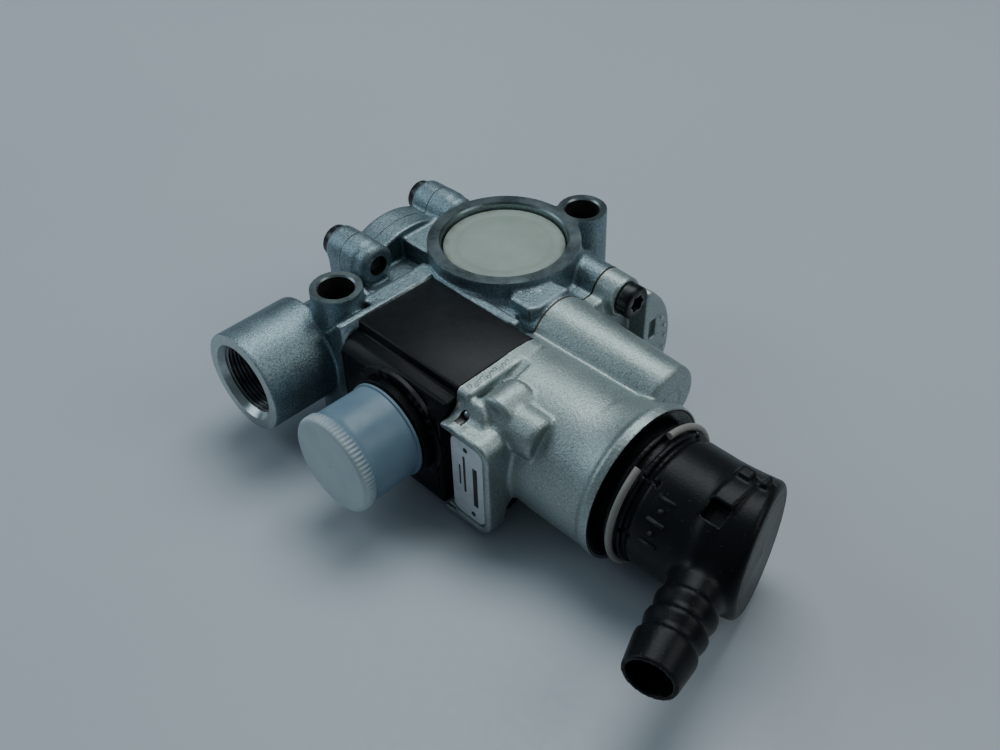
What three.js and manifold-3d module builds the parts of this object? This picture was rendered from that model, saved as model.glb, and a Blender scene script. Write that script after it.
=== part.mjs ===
import * as THREE from 'three';
import { mergeVertices } from 'three/addons/utils/BufferGeometryUtils.js';
import Module from 'manifold-3d';

// Solenoid modulator valve of a pneumatic brake system, lying as it does on a bench.
// Millimetres. While it is built, x = 0 is the end of the solenoid block, y = 0 is the
// exhaust axis and z = 0 is the bench. The last lines move the base's centre to 0, 0.

const wasm = await Module();
wasm.setup();

// ---- driving dimensions ----------------------------------------------------

const GAP = 0.3;                // air between two pieces that meet
const SEGMENTS = 36;            // facets of a large round
const SMALL_SEGMENTS = 20;      // facets of a small round
const SCREW_SEGMENTS = 16;      // facets of a screw hole or a pin

const front = { x: -4.3, seam: 1.1, flangeX: 0.3 };      // joint face of the exhaust cover
const rear = { x: -70.3, seam: 1.1, lug: 6.5, stepX: -64.8 };  // joint face of the rear cover
const gasketThickness = 0.5;

const exhaust = {
  z: 21.7, bodyY: -1.2, bodyZ: 20.4, bodyR: 20, flareR: 18.3, flareX: 33, mouthR: 21.7, mouthX: 45,
  boreR: 17.4, boreX: 33, sealX: 42, sealR: 20.5,
};
const supply = {
  x: -59.9, z: 22, faceY: -48, backY: -24, outerR: 15.3,
  threadR: 10.3, mouthR: 11.4, pitch: 2, threadLength: 17, boreR: 5.8,
};
const tubes = {
  topZ: 44.4, topR: 7.55, footR: 8.1, holeR: 5.2, collar: 5,
  places: [[-50.6, -18.8], [-27.3, 57.0]],
};
const ring = {
  x: -33.5, y: 29.9, topZ: 44.4, outerR: 22.5, innerR: 18.5, ledgeZ: 37.7, boreR: 14, floorZ: 30,
};
const block = { x0: -39.5, x1: 0.2, y0: -28, y1: 6.7, z0: 2.2, z1: 40, stepY: -20.7, stepZ: 37.4 };
const connector = { x: -16.5, z: 22, pinCircleR: 4.6 };
const deck = { low: 29, high: 36, baseZ: 4 };  // heights of the main casting
const ridge = { y: 21.5, z: 30.2, seamR: 11.4, endR: 9.4, endX: 36 };
const screw = { shankR: 2.9, headR: 5, frontHead: 4.2, rearHead: 3.3, socketR: 2.3, socketDepth: 2.6 };
const rearScrews = [[3.5, 35], [38, 35], [3.5, 9], [38, 9]];  // y, z
const rearScrewTip = -61.5;
const rearLugEnd = -60;
const frontScrews = [[42, 35, 3], [45, 9, 3], [-17, 7, 10]];  // y, z and where the head sits
const jointScrews = frontScrews.slice(0, 2);   // into the main casting
const blockScrews = frontScrews.slice(2);      // into the solenoid block
const frontScrewTip = -14.5;
const blockScrewTip = -3.5;
const elbow = {
  bendX: 70.3, yaw: 15, bodyR: 17.8, boreR: 12.6, endLength: 9.2,
  barbLength: 44.6, barbNeckR: 6.4, barbRidgeR: 7.4, tipR: 5.8, barbBoreR: 5.1,
  firstRidge: 24, ridgePitch: 6.3, neckR: 17,
  recess: { x: 71, y: -7.6, length: 5.2, width: 5.2, depth: 2.6 },
  lugs: [{ x0: 66.4, x1: 73.2, y: 4.8, z: 41 }, { x0: 72.4, x1: 76.8, y: 6.2, z: 40.6 }],
  band: { x0: 68.4, x1: 73.6, y0: -5.3, y1: 6, rise: 0.7 },
};
const chamber = { y: 20, z: 18, r: 12.5, depth: 11, seatR: 6, seatOuterR: 8, discFace: 8 };
const solenoids = [[-29, 16], [-11, 16]];
const coil = { outerR: 8.2, innerR: 3.4, y0: -18, y1: 4 };
const yoke = { x: [-37.6, -2.4], z: [7.4, 24.6], thickness: 2, rivetR: 1.6 };
const label = { x0: 3.8, x1: 16, y: -28.5, z0: 4.2, z1: 32, depth: 1.4 };
const channel = { x: 6, z: 34, r: 5.7, backY: -12, hole: [5, 34.8], holeR: 1.5, ballY: -21.9 };
const bulge = { x: 9.6, z: 33, r: 6, y0: -17, y1: -6.5 };          // behind the channel's nose
const blindBoss = { y: -15, z: 31.2, r: 7, x0: 2, x1: 24.6 };      // leaves the bulge along x
const boss = { x1: 6.5, nearY: 47.6, z0: 4, slot: { y: [50, 53], z: [16.5, 23], depth: 2.4 } };
const snap = { x: 50, r: 19.2, wireR: 0.95, gapAngle: 102.5, gap: 35.6 };
const oRing = { x0: 38.2, x1: 40.6, floorR: 15.4 };
const cap = { mouthY: -32, endY: -51.3, mouthR: 13.5, endR: 14.3, wall: 1.2 };
const plug = { r: 17.9, top: 1.8, thickness: 3.2 };
const wall = { top: 40.3, back: 2.4, side: 2 };      // around the solenoid block

// ---- solids ------------------------------------------------------------------

// Turn a closed geometry into a solid; inside-out ones are turned right way round.
function solid(geometry) {
  const bare = geometry.clone();
  bare.deleteAttribute('normal');
  bare.deleteAttribute('uv');
  const merged = mergeVertices(bare, 1e-4);
  const points = merged.attributes.position.array;
  const index = merged.index.array;
  const corners = [0, 1, 2].map(() => new THREE.Vector3());
  const faces = [];
  let volume = 0;
  for (let i = 0; i < index.length; i += 3) {
    const face = [index[i], index[i + 1], index[i + 2]];
    if (face[0] === face[1] || face[1] === face[2] || face[0] === face[2]) continue;
    corners.forEach((corner, k) => corner.fromArray(points, 3 * face[k]));
    volume += corners[0].dot(corners[1].clone().cross(corners[2]));
    faces.push(face);
  }
  const triVerts = Uint32Array.from(faces.flatMap((f) => (volume < 0 ? [f[0], f[2], f[1]] : f)));
  return new wasm.Manifold(new wasm.Mesh({ numProp: 3, vertProperties: points, triVerts }));
}

function geometryOf(manifold) {
  const mesh = manifold.getMesh();
  const geometry = new THREE.BufferGeometry();
  geometry.setAttribute('position', new THREE.BufferAttribute(mesh.vertProperties, 3));
  geometry.setIndex(new THREE.BufferAttribute(mesh.triVerts, 1));
  return geometry;
}

function join(...pieces) {
  return pieces.flat().reduce((whole, piece) => whole.add(piece));
}

function cut(whole, ...pieces) {
  return pieces.flat().reduce((rest, piece) => rest.subtract(piece), whole);
}

// Local z becomes the named axis; local x and y become the other two, in x, y, z order.
const turns = {
  x: new THREE.Matrix4().makeBasis(
    new THREE.Vector3(0, 1, 0), new THREE.Vector3(0, 0, 1), new THREE.Vector3(1, 0, 0)),
  y: new THREE.Matrix4().makeBasis(
    new THREE.Vector3(1, 0, 0), new THREE.Vector3(0, 0, 1), new THREE.Vector3(0, 1, 0)),
  z: new THREE.Matrix4(),
};

function box([x0, x1], [y0, y1], [z0, z1]) {
  const geometry = new THREE.BoxGeometry(x1 - x0, y1 - y0, z1 - z0);
  geometry.translate((x0 + x1) / 2, (y0 + y1) / 2, (z0 + z1) / 2);
  return solid(geometry);
}

// A cylinder or cone along an axis, centred on the pair of other coordinates.
function rod(axis, [u, v], radius, [from, to], endRadius = radius, segments = SEGMENTS) {
  const geometry = new THREE.CylinderGeometry(endRadius, radius, to - from, segments);
  geometry.rotateX(Math.PI / 2);
  geometry.translate(u, v, (from + to) / 2);
  geometry.applyMatrix4(turns[axis]);
  return solid(geometry);
}

// A profile of [radius, along] points turned about an axis.
function turned(axis, [u, v], profile, segments = SEGMENTS) {
  const geometry = new THREE.LatheGeometry(profile.map(([r, s]) => new THREE.Vector2(r, s)), segments);
  geometry.rotateX(Math.PI / 2);
  geometry.translate(u, v, 0);
  geometry.applyMatrix4(turns[axis]);
  return solid(geometry);
}

// An outline in the other two coordinates, pushed along an axis.
function extruded(axis, shape, [from, to]) {
  const options = { depth: to - from, bevelEnabled: false, curveSegments: 8 };
  const geometry = new THREE.ExtrudeGeometry(shape, options);
  geometry.translate(0, 0, from);
  geometry.applyMatrix4(turns[axis]);
  return solid(geometry);
}

function polygon(points) {
  return new THREE.Shape(points.map(([u, v]) => new THREE.Vector2(u, v)));
}

// A rectangle with rounded corners, from its two opposite corners.
function roundedRectangle([u0, v0], [u1, v1], r) {
  const shape = new THREE.Shape();
  shape.absarc(u1 - r, v1 - r, r, 0, Math.PI / 2);
  shape.absarc(u0 + r, v1 - r, r, Math.PI / 2, Math.PI);
  shape.absarc(u0 + r, v0 + r, r, Math.PI, Math.PI * 1.5);
  shape.absarc(u1 - r, v0 + r, r, Math.PI * 1.5, Math.PI * 2);
  return shape;
}

// A round bar bent into an arc about an axis, in the plane across it.
function arcBar(axis, [u, v], along, radius, barR, startAngle, endAngle, steps) {
  const points = [];
  for (let i = 0; i <= steps; i += 1) {
    const a = startAngle + ((endAngle - startAngle) * i) / steps;
    points.push(new THREE.Vector3(u + radius * Math.cos(a), v + radius * Math.sin(a), along));
  }
  const section = new THREE.Shape();
  section.absarc(0, 0, barR, 0, Math.PI * 2);
  const path = new THREE.CatmullRomCurve3(points);
  const geometry = new THREE.ExtrudeGeometry(section, { steps, extrudePath: path, curveSegments: 5 });
  geometry.applyMatrix4(turns[axis]);
  return solid(geometry);
}

function degrees(angle) {
  return THREE.MathUtils.degToRad(angle);
}

// ---- main casting ------------------------------------------------------------

const mainRear = rear.x + rear.seam / 2;
const mainFront = front.x - front.seam / 2;
const rearPassage = [chamber.y, chamber.z];

// Clearance holes for a joint's screws, along x.
function screwHoles(screws, span) {
  const radius = screw.shankR + GAP;
  return screws.map(([y, z]) => rod('x', [y, z], radius, span, radius, SCREW_SEGMENTS));
}

function supplyBoss() {
  const { x, z, faceY, backY, outerR } = supply;
  return join(
    rod('y', [x, z], outerR, [faceY + 0.8, backY], outerR + 0.1),
    rod('y', [x, z], outerR - 0.8, [faceY, faceY + 0.9], outerR),
    rod('y', [x, z - 1], outerR - 3.4, [backY - 1, -4]),
  );
}

// The threaded mouth, the bore behind it and the passage into the rear chamber.
function supplyBore() {
  const { x, z, faceY, threadR, mouthR, pitch, threadLength, boreR } = supply;
  const end = faceY + threadLength;
  const grooves = [];
  for (let y = faceY + 2.4; y < end - pitch; y += pitch) {
    grooves.push(turned('y', [x, z], [
      [0, y - pitch / 2], [threadR, y - pitch / 2], [threadR + pitch / 2, y],
      [threadR, y + pitch / 2], [0, y + pitch / 2],
    ], SMALL_SEGMENTS));
  }
  return join(
    rod('y', [x, z], mouthR + 0.3, [faceY - 1, faceY + 1.6], threadR + 0.3),
    rod('y', [x, z], threadR, [faceY, end], threadR, SMALL_SEGMENTS),
    rod('y', [x, z], boreR, [end - 1, chamber.y - 8], boreR, SMALL_SEGMENTS),
    grooves,
  );
}

function mountingTube([x, y]) {
  const { topZ, topR, footR, collar } = tubes;
  return join(
    rod('z', [x, y], footR, [0, topZ - collar], topR),
    rod('z', [x, y], topR, [topZ - collar - 0.2, topZ - 0.5]),
    rod('z', [x, y], topR, [topZ - 0.6, topZ], topR - 0.5),
  );
}

function mountingHole([x, y]) {
  return rod('z', [x, y], tubes.holeR, [-1, tubes.topZ + 1], tubes.holeR, SMALL_SEGMENTS);
}

// Round screw lug at a joint face, with a domed far end.
function screwLug([y, z], radius, [jointX, farX]) {
  const inward = Math.sign(jointX - farX);
  return turned('x', [y, z], [
    [0, jointX], [radius, jointX], [radius, farX + inward * 2],
    [radius - 0.8, farX + inward * 0.6], [radius - 2.4, farX], [0, farX],
  ], SMALL_SEGMENTS);
}

// The round top flange, its sloping web and the flat-topped pad beside the front joint.
function topFlange() {
  const { x, y, topZ, outerR } = ring;
  const web = [[-40, 7.2], [-7, 7.2], [-14, 16], [-20, 24]];
  const padFront = mainFront - 0.8;
  const pad = [[-15.6, 12.5], [-6.8, 12.8], [padFront, 15.6], [padFront, 27.5], [-12, 26.5], [-17, 18]];
  return join(
    rod('z', [x, y], outerR - 2.5, [8, 36]),
    rod('z', [x, y], outerR, [31, topZ - 0.6]),
    rod('z', [x, y], outerR, [topZ - 0.7, topZ], outerR - 0.6),
    extruded('z', polygon(web), [deck.baseZ, 38.4]),
    extruded('z', polygon(pad), [deck.baseZ, 42]),
  );
}

// The main casting's face at the front joint follows the exhaust cover's outline.
function frontLobes() {
  return join(
    frontSlab([mainFront - 8, mainFront], 0),
    jointScrews.map((at) => rod('x', at, 6.4, [mainFront - 14, mainFront], 6.2, SMALL_SEGMENTS)),
  );
}

// Walls that hold the solenoid block: one beside the first tube, one along its back, and
// the gusset that closes the corner between that tube and the wall.
function blockWalls() {
  const wallX = block.x0 - GAP;
  const outerX = wallX - wall.side;
  const backY = block.y1 + GAP;
  const foot = deck.baseZ - 1;
  const [tubeX] = tubes.places[0];
  const gusset = [
    [tubeX, foot], [outerX + 1, foot], [outerX + 1, wall.top], [outerX, wall.top],
    [outerX - 5, wall.top - 6], [tubeX, wall.top - 7],
  ];
  return join(
    box([-46, wallX], [-12, backY + wall.back], [foot, wall.top]),
    box([outerX, wallX], [-26.4, -11], [foot, wall.top]),
    box([-46, -7], [backY, backY + wall.back], [foot, wall.top]),
    extruded('y', polygon(gusset), [-26.4, -16]),
  );
}

function mainHousing() {
  const { x, y, topZ, innerR, ledgeZ, boreR, floorZ } = ring;
  const body = join(
    box([mainRear, -46], [-12, 46], [deck.baseZ, deck.low]),
    extruded('x', rearOutline(0), [mainRear, rear.stepX]),
    box([mainRear, rear.stepX], [3.5, 40], [deck.low - 1, deck.high]),
    box([rear.stepX - 1, -30], [17.1, 42], [deck.low - 1, deck.high]),
    box([-46.5, mainFront], [block.y1 + 0.6, 46], [deck.baseZ, deck.low + 3]),
    box([-56, block.x0 - 1.5], [-25, -10], [deck.baseZ - 1, 33]),
    box([-35, -20], [44, 57], [deck.baseZ, 34]),
    box([-30, -24.6], [44, 57], [deck.baseZ, 41]),
    rod('z', [-55.6, -4], 3.1, [deck.low - 1, deck.low + 1.6], 2.9, SMALL_SEGMENTS),
    blockWalls(),
    supplyBoss(),
    tubes.places.map(mountingTube),
    rearScrews.map((place) => screwLug(place, 6.3, [mainRear, rearLugEnd])),
    topFlange(),
    frontLobes(),
  );
  const opened = cut(body,
    supplyBore(),
    tubes.places.map(mountingHole),
    rod('z', [x, y], innerR, [ledgeZ, topZ + 1]),
    rod('z', [x, y], boreR, [floorZ, ledgeZ + 1]),
    rod('z', [x, y], 9, [12, floorZ + 1], 9, SMALL_SEGMENTS),
    rod('x', rearPassage, chamber.r, [mainRear - 1, mainRear + chamber.depth]),
    rod('x', rearPassage, chamber.seatR, [mainRear, mainFront], chamber.seatR, SMALL_SEGMENTS),
    rod('x', rearPassage, chamber.r, [mainFront - chamber.depth, mainFront + 1]),
    screwHoles(rearScrews, [mainRear - 1, rearLugEnd + 2]),
    screwHoles(jointScrews, [frontScrewTip - 1, mainFront + 1]),
    box([block.x0 - GAP, 2], [block.y0 - 4, block.y1 + GAP], [0, wall.top + 1]),
  );
  return opened.add(seatRing(mainRear, 1)).add(seatRing(mainFront, -1));
}

// Raised seat on a chamber's floor, just short of the valve disc that closes it.
function seatRing(jointX, inward) {
  const { depth, seatR, seatOuterR, discFace } = chamber;
  const span = [jointX + inward * (discFace + GAP), jointX + inward * (depth + 0.5)];
  span.sort((a, b) => a - b);
  return rod('x', rearPassage, seatOuterR, span)
    .subtract(rod('x', rearPassage, seatR, [span[0] - 1, span[1] + 1], seatR, SMALL_SEGMENTS));
}

// ---- covers and gaskets --------------------------------------------------------

// Outline of the rear joint in y, z: two lugs at the top, two at the foot, an arched middle.
function rearOutline(grow) {
  const lug = 6.2 + grow;
  const shape = new THREE.Shape();
  shape.absarc(38, 35, lug, 0, Math.PI * 0.6);
  shape.absarc(20.6, 14.7, 23.6 + grow, Math.PI * 0.345, Math.PI * 0.655);
  shape.absarc(3.5, 35, lug, Math.PI * 0.4, Math.PI);
  shape.absarc(3.5, 9, lug, Math.PI, Math.PI * 1.5);
  shape.absarc(38, 9, lug, Math.PI * 1.5, Math.PI * 2);
  return shape;
}

function rearCover() {
  const inner = rear.x - rear.seam / 2;
  const plateX = inner - rear.lug + 0.6;
  const body = join(
    extruded('x', rearOutline(0), [plateX, inner]),
    turned('x', [20.6, 20], [[0, inner], [15, inner], [15, plateX], [13, plateX - 1.7], [0, plateX - 2.3]]),
    rearScrews.map((place) => rod('x', place, 5.8, [inner - rear.lug, inner], 6.2, SMALL_SEGMENTS)),
  );
  return cut(body,
    rod('x', rearPassage, 11, [inner - 4, inner + 1]),
    screwHoles(rearScrews, [inner - rear.lug - 4, inner + 1]),
  );
}

function rearGasket() {
  const half = gasketThickness / 2;
  return cut(extruded('x', rearOutline(-0.2), [rear.x - half, rear.x + half]),
    rod('x', rearPassage, chamber.r, [rear.x - 1, rear.x + 1]),
    screwHoles(rearScrews, [rear.x - 1, rear.x + 1]),
  );
}

// The front joint's outline, as a slab between two places along x.
function frontSlab([from, to], shrink) {
  const span = [from, to];
  const near = [block.y1 + 0.6 + shrink, deck.baseZ + shrink];
  return join(
    extruded('x', roundedRectangle(near, [50 - shrink, 34 - shrink], 4), span),
    box(span, [30, 38], [30, deck.high - shrink]),
    rod('x', [ridge.y, ridge.z], ridge.seamR - shrink, span),
    jointScrews.map((place) => rod('x', place, 6.2 - shrink, span, undefined, SMALL_SEGMENTS)),
  );
}

function frontGasket() {
  const half = gasketThickness / 2;
  const span = [front.x - 1, front.x + 1];
  return cut(frontSlab([front.x - half, front.x + half], 0.2),
    rod('x', rearPassage, chamber.r, span),
    screwHoles(jointScrews, span),
  );
}

// The flange that caps the solenoid block, stepped like the block's own front edge.
function blockFlange([from, to]) {
  return extruded('x', polygon([
    [10, 3], [10, 39.8], [6, 40], [-20.7, 40], [-21.4, 36], [-24, 29], [-24.6, 24], [-24.6, 3],
  ]), [from, to]);
}

// Frame for the label on the front left side; its recess is open towards the block.
function labelFrame() {
  const { x0, x1, y, z0, z1, depth } = label;
  const outer = extruded('y', roundedRectangle([x0, z0 - 2.6], [x1 + 2.2, z1 + 2.4], 3.6), [y, -16]);
  return outer.subtract(box([x0 - 3, x1], [y - 1, y + depth], [z0, z1]));
}

// Round-topped nose of the cross channel. Its near face slopes down to the label's frame.
function channelNose() {
  const { x, z, r, backY } = channel;
  const foot = 26;
  const slope = polygon([[backY, foot], [backY, 39.8], [-20.3, 39.8], [-24.6, 32.4], [-24.6, foot]]);
  return join(
    rod('y', [x, z], r, [-26, backY]),
    box([0.8, x + r], [-26, backY], [foot, z]),
  ).intersect(extruded('x', slope, [0, x + r + 1]));
}

// Short cross channel: its nose, the bulge behind it and the blind boss that leaves them.
function crossChannel() {
  const { x, z, r, y0, y1 } = bulge;
  const at = [blindBoss.y, blindBoss.z];
  const endR = blindBoss.r - 0.5;
  const { x0, x1 } = blindBoss;
  return join(
    channelNose(),
    rod('y', [x, z], r, [y0, y1 - 1.2]),
    rod('y', [x, z], r, [y1 - 1.3, y1], r - 1.2),
    rod('x', at, blindBoss.r, [x0, x1 - 1.2], endR, SMALL_SEGMENTS),
    rod('x', at, endR, [x1 - 1.3, x1], endR - 1.3, SMALL_SEGMENTS),
  );
}

// Round-backed boss at the back of the flange, flat on its near side, with a short slot.
function backBoss() {
  const { x1, nearY, z0, slot } = boss;
  const outline = new THREE.Shape();
  outline.moveTo(nearY, z0);
  outline.lineTo(nearY, 33);
  outline.quadraticCurveTo(nearY, 35, 49.4, 34.2);
  outline.quadraticCurveTo(61, 27, 60, 13);
  outline.lineTo(57.6, z0);
  outline.closePath();
  return extruded('x', outline, [front.x + front.seam / 2, x1])
    .subtract(box([x1 - slot.depth, x1 + 1], slot.y, slot.z));
}

// Room for a screw's head in front of its seat.
function screwRecess([y, z, seatX]) {
  const radius = screw.headR + GAP;
  return rod('x', [y, z], radius, [seatX, seatX + 12], radius, SMALL_SEGMENTS);
}

function frontCover() {
  const { z, bodyY, bodyZ, bodyR, flareR, flareX, mouthR, mouthX, boreR, boreX, sealX, sealR } = exhaust;
  const inner = front.x + front.seam / 2;
  const wingX = block.x1 + GAP;
  const body = join(
    frontSlab([inner, front.flangeX], 0),
    blockFlange([wingX, wingX + 4]),
    rod('x', [bodyY, bodyZ], bodyR, [inner, flareX + 5]),
    rod('x', [0, z], flareR, [flareX, mouthX - 2], mouthR),
    rod('x', [0, z], mouthR, [mouthX - 2.1, mouthX]),
    rod('x', [ridge.y, ridge.z], ridge.seamR, [inner, ridge.endX - 1.4], ridge.endR),
    rod('x', [ridge.y, ridge.z], ridge.endR, [ridge.endX - 1.5, ridge.endX], ridge.endR - 1.3),
    box([inner, ridge.endX - 3], [8, ridge.y + 9], [8, ridge.z]),
    frontScrews.map(([y, w, seatX]) => rod('x', [y, w], 6.2, [inner, seatX], 6, SMALL_SEGMENTS)),
    labelFrame(),
    crossChannel(),
    backBoss(),
  );
  return cut(body,
    box([inner - 9, inner], [-60, 60], [0, 60]),
    box([inner - 1, wingX], [-60, block.y1 + GAP], [0, 60]),
    rod('x', [0, z], boreR, [boreX, mouthX + 1]),
    rod('x', [0, z], sealR, [sealX - GAP, mouthX + 1]),
    rod('x', [0, z], boreR - 2.8, [wingX + 6, boreX + 1]),
    rod('x', rearPassage, 11, [inner - 1, inner + 8]),
    rod('y', channel.hole, channel.holeR, [-26, channel.backY - 2], channel.holeR, SMALL_SEGMENTS),
    screwHoles(frontScrews, [inner - 1, 14]),
    frontScrews.map(screwRecess),
  );
}

// ---- screws, plugs and label ----------------------------------------------------

// Button-headed screw along x: the head lies on the far side of headX.
function jointScrew([y, z], headX, tipX, headLength) {
  const out = Math.sign(headX - tipX);
  const { shankR, headR, socketR, socketDepth } = screw;
  const face = headX + out * headLength;
  const body = turned('x', [y, z], [
    [0, tipX], [shankR - 0.6, tipX], [shankR, tipX + out], [shankR, headX + out * GAP],
    [headR, headX + out * GAP], [headR, face - out * 0.5], [headR - 0.5, face], [0, face],
  ], SMALL_SEGMENTS);
  const lobes = [0, 1, 2].map((k) => {
    const geometry = new THREE.BoxGeometry(2 * socketR, socketR * 0.9, 2 * socketDepth);
    geometry.rotateZ((k * Math.PI) / 3);
    geometry.translate(y, z, face);
    geometry.applyMatrix4(turns.x);
    return solid(geometry);
  });
  return cut(body, lobes);
}

function channelBall() {
  const geometry = new THREE.SphereGeometry(channel.holeR - GAP, 16, 12);
  geometry.translate(channel.hole[0], channel.ballY, channel.hole[1]);
  return solid(geometry);
}

function labelPlate() {
  const { x0, x1, y, z0, z1, depth } = label;
  const outline = roundedRectangle([x0 + 0.4, z0 + GAP], [x1 - GAP, z1 - GAP], 2.4);
  return extruded('y', outline, [y + depth - GAP - 0.5, y + depth - GAP]);
}

// ---- solenoid block ---------------------------------------------------------------

function widened([from, to]) {
  return [from - GAP, to + GAP];
}

function solenoidHousing() {
  const { x0, x1, y0, y1, z0, z1, stepY, stepZ } = block;
  const profile = polygon([
    [y1, z0], [y1, z1], [stepY, z1], [stepY - 0.4, stepZ], [stepY - 4.2, stepZ - 0.4], [y0, 33.4], [y0, z0],
  ]);
  const { x, z } = connector;
  const body = join(
    extruded('x', profile, [x0, x1]),
    rod('y', [x, z], 17, [y0 - 0.6, y0 + 1]),
    rod('y', [x, z], 10.6, [y0 - 8, y0 - 7.6], 11),
    rod('y', [x, z], 11, [y0 - 7.7, y0]),
  );
  const bayR = coil.outerR + GAP;
  const bayY = [coil.y0 - GAP, y1 + 1];
  return cut(body,
    rod('y', [x, z], 9.2, [y0 - 9, y0 - 1]),
    solenoids.map((at) => rod('y', at, bayR, bayY, bayR, SMALL_SEGMENTS)),
    box(widened(yoke.x), [y1 - yoke.thickness - GAP, y1 + 1], widened(yoke.z)),
    screwHoles(blockScrews, [blockScrewTip - 0.5, x1 + 1]),
  );
}

// Locking ring of the round connector, with its ramps round the outside.
function connectorCollar() {
  const { x, z } = connector;
  const start = block.y0 - 1;
  return turned('y', [x, z], [
    [11.3, start - 2.6], [13.2, start - 2.6], [13.2, start - 2], [14.6, start - 2],
    [14.6, start - 1.3], [13.9, start - 1.3], [13.9, start - 0.7], [14.6, start - 0.7],
    [14.6, start], [11.3, start], [11.3, start - 2.6],
  ]);
}

function contactPin(k) {
  const angle = Math.PI / 4 + (k * Math.PI) / 2;
  const { x, z, pinCircleR } = connector;
  const place = [x + pinCircleR * Math.cos(angle), z + pinCircleR * Math.sin(angle)];
  const foot = block.y0 - 1.3;
  const tip = block.y0 - 6.4;
  return turned('y', place, [
    [0, tip], [0.9, tip + 0.4], [1.1, tip + 0.8], [1.1, foot], [0, foot],
  ], SCREW_SEGMENTS);
}

function solenoidCoil(at) {
  const { outerR, innerR, y0, y1 } = coil;
  const hole = rod('y', at, innerR, [y0 - 1, y1 + 1], innerR, SMALL_SEGMENTS);
  return rod('y', at, outerR, [y0, y1]).subtract(hole);
}

// Iron rod inside a coil: the fixed core at one end, the sliding armature at the other.
function ironRod(at, span) {
  const radius = coil.innerR - GAP;
  return rod('y', at, radius, span, radius, SMALL_SEGMENTS);
}

function poleCore(at) {
  return ironRod(at, [coil.y0, coil.y0 + 10]);
}

function armature(at) {
  return ironRod(at, [coil.y0 + 11.4, coil.y1]);
}

function yokePlate() {
  const { x, z, thickness, rivetR } = yoke;
  const y1 = block.y1;
  const through = [y1 - thickness - 1, y1 + 1];
  return cut(box(x, [y1 - thickness, y1], z),
    solenoids.map((at) => rod('y', at, rivetR, through, rivetR, SCREW_SEGMENTS)),
  );
}

// ---- valve discs ---------------------------------------------------------------

// Rubber disc with a stepped back that closes a chamber's seat.
function valveDisc(faceX, side) {
  const at = (s) => faceX + side * s;
  return turned('x', rearPassage, [
    [0, at(0)], [8.6, at(0)], [8.6, at(1.6)], [9.6, at(2.2)], [9.6, at(3.2)],
    [6, at(3.2)], [5.4, at(4.4)], [0, at(4.4)],
  ], SMALL_SEGMENTS);
}

// ---- exhaust elbow ---------------------------------------------------------------

// Place something built along z on the elbow's turned frame: 'end' along the end disc's
// normal, 'barb' along the hose barb.
function onElbow(geometry, direction) {
  const yaw = degrees(elbow.yaw);
  geometry.rotateZ(direction === 'end' ? yaw + Math.PI / 2 : yaw);
  geometry.translate(elbow.bendX, 0, exhaust.z);
  return solid(geometry);
}

function elbowLathe(profile, direction, segments = SEGMENTS) {
  const points = profile.map(([r, s]) => new THREE.Vector2(r, -s));
  return onElbow(new THREE.LatheGeometry(points, segments), direction);
}

function boreProfile(radius, [from, to]) {
  return [[0, from], [radius, from], [radius, to], [0, to]];
}

// Outline of the barb from the bend to its tip, with one ridge for each step.
function barbProfile() {
  const { barbLength, barbNeckR, barbRidgeR, tipR, ridgePitch, firstRidge } = elbow;
  const points = [[0, 0], [barbNeckR + 1.6, 0], [barbNeckR + 0.6, 19], [barbNeckR, 21]];
  for (let i = 0; i < 3; i += 1) {
    const s = firstRidge + i * ridgePitch;
    points.push([barbNeckR, s - 1.2], [barbRidgeR, s], [barbRidgeR, s + 1.2]);
    const last = i === 2;
    points.push(last ? [tipR + 0.3, barbLength - 0.5] : [barbNeckR, s + ridgePitch - 1.6]);
  }
  points.push([tipR, barbLength], [0, barbLength]);
  return points;
}

function elbowBody() {
  const { bendX, bodyR, boreR, endLength, barbLength, barbBoreR, neckR, lugs } = elbow;
  const { z, mouthX } = exhaust;
  const start = mouthX - 8;
  const groove = [oRing.x0, oRing.x1];
  const outside = join(
    turned('x', [0, z], [
      [0, start], [neckR - 0.4, start], [neckR, start + 0.4],
      [neckR, groove[0]], [oRing.floorR, groove[0]], [oRing.floorR, groove[1]], [neckR, groove[1]],
      [neckR, snap.x - 1.6], [18.6, snap.x - 1.6], [18.6, snap.x - 1.25],
      [17.4, snap.x - 1.25], [17.4, snap.x + 1.25],
      [18.4, snap.x + 1.25], [18.4, snap.x + 2.2], [neckR, snap.x + 2.6],
      [neckR, snap.x + 3.8], [bodyR, snap.x + 4.6], [bodyR, bendX + 2], [0, bendX + 2],
    ]),
    elbowLathe([
      [0, -4], [bodyR - 0.1, -4], [bodyR - 0.2, endLength - 3], [bodyR - 2.4, endLength], [0, endLength],
    ], 'end'),
    elbowLathe(barbProfile(), 'barb', SMALL_SEGMENTS),
    lugs.map(elbowLug),
    elbowBand(),
  );
  return cut(outside,
    rod('x', [0, z], boreR, [start - 1, bendX]),
    elbowLathe(boreProfile(boreR, [-3, endLength - 3.2]), 'end'),
    elbowLathe(boreProfile(barbBoreR, [0, barbLength + 1]), 'barb', SMALL_SEGMENTS),
    elbowRecess(),
  );
}

// Trapezoid lug on the elbow's back, its faces along x and z.
function elbowLug({ x0, x1, y, z }) {
  const foot = exhaust.z + 12;
  const side = polygon([[x0 - 1, foot], [x0 + 2, z], [x1 - 1.4, z], [x1 + 0.6, foot]]);
  return extruded('y', side, [y - 1.6, y + 1.8]);
}

// Raised band round the body, from the square pocket up to the first lug.
function elbowBand() {
  const { bodyR, band } = elbow;
  const span = [band.x0, band.x1];
  return rod('x', [0, exhaust.z], bodyR + band.rise, span)
    .intersect(box(span, [band.y0, band.y1], [exhaust.z + 10, exhaust.z + 2 * bodyR]));
}

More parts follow.
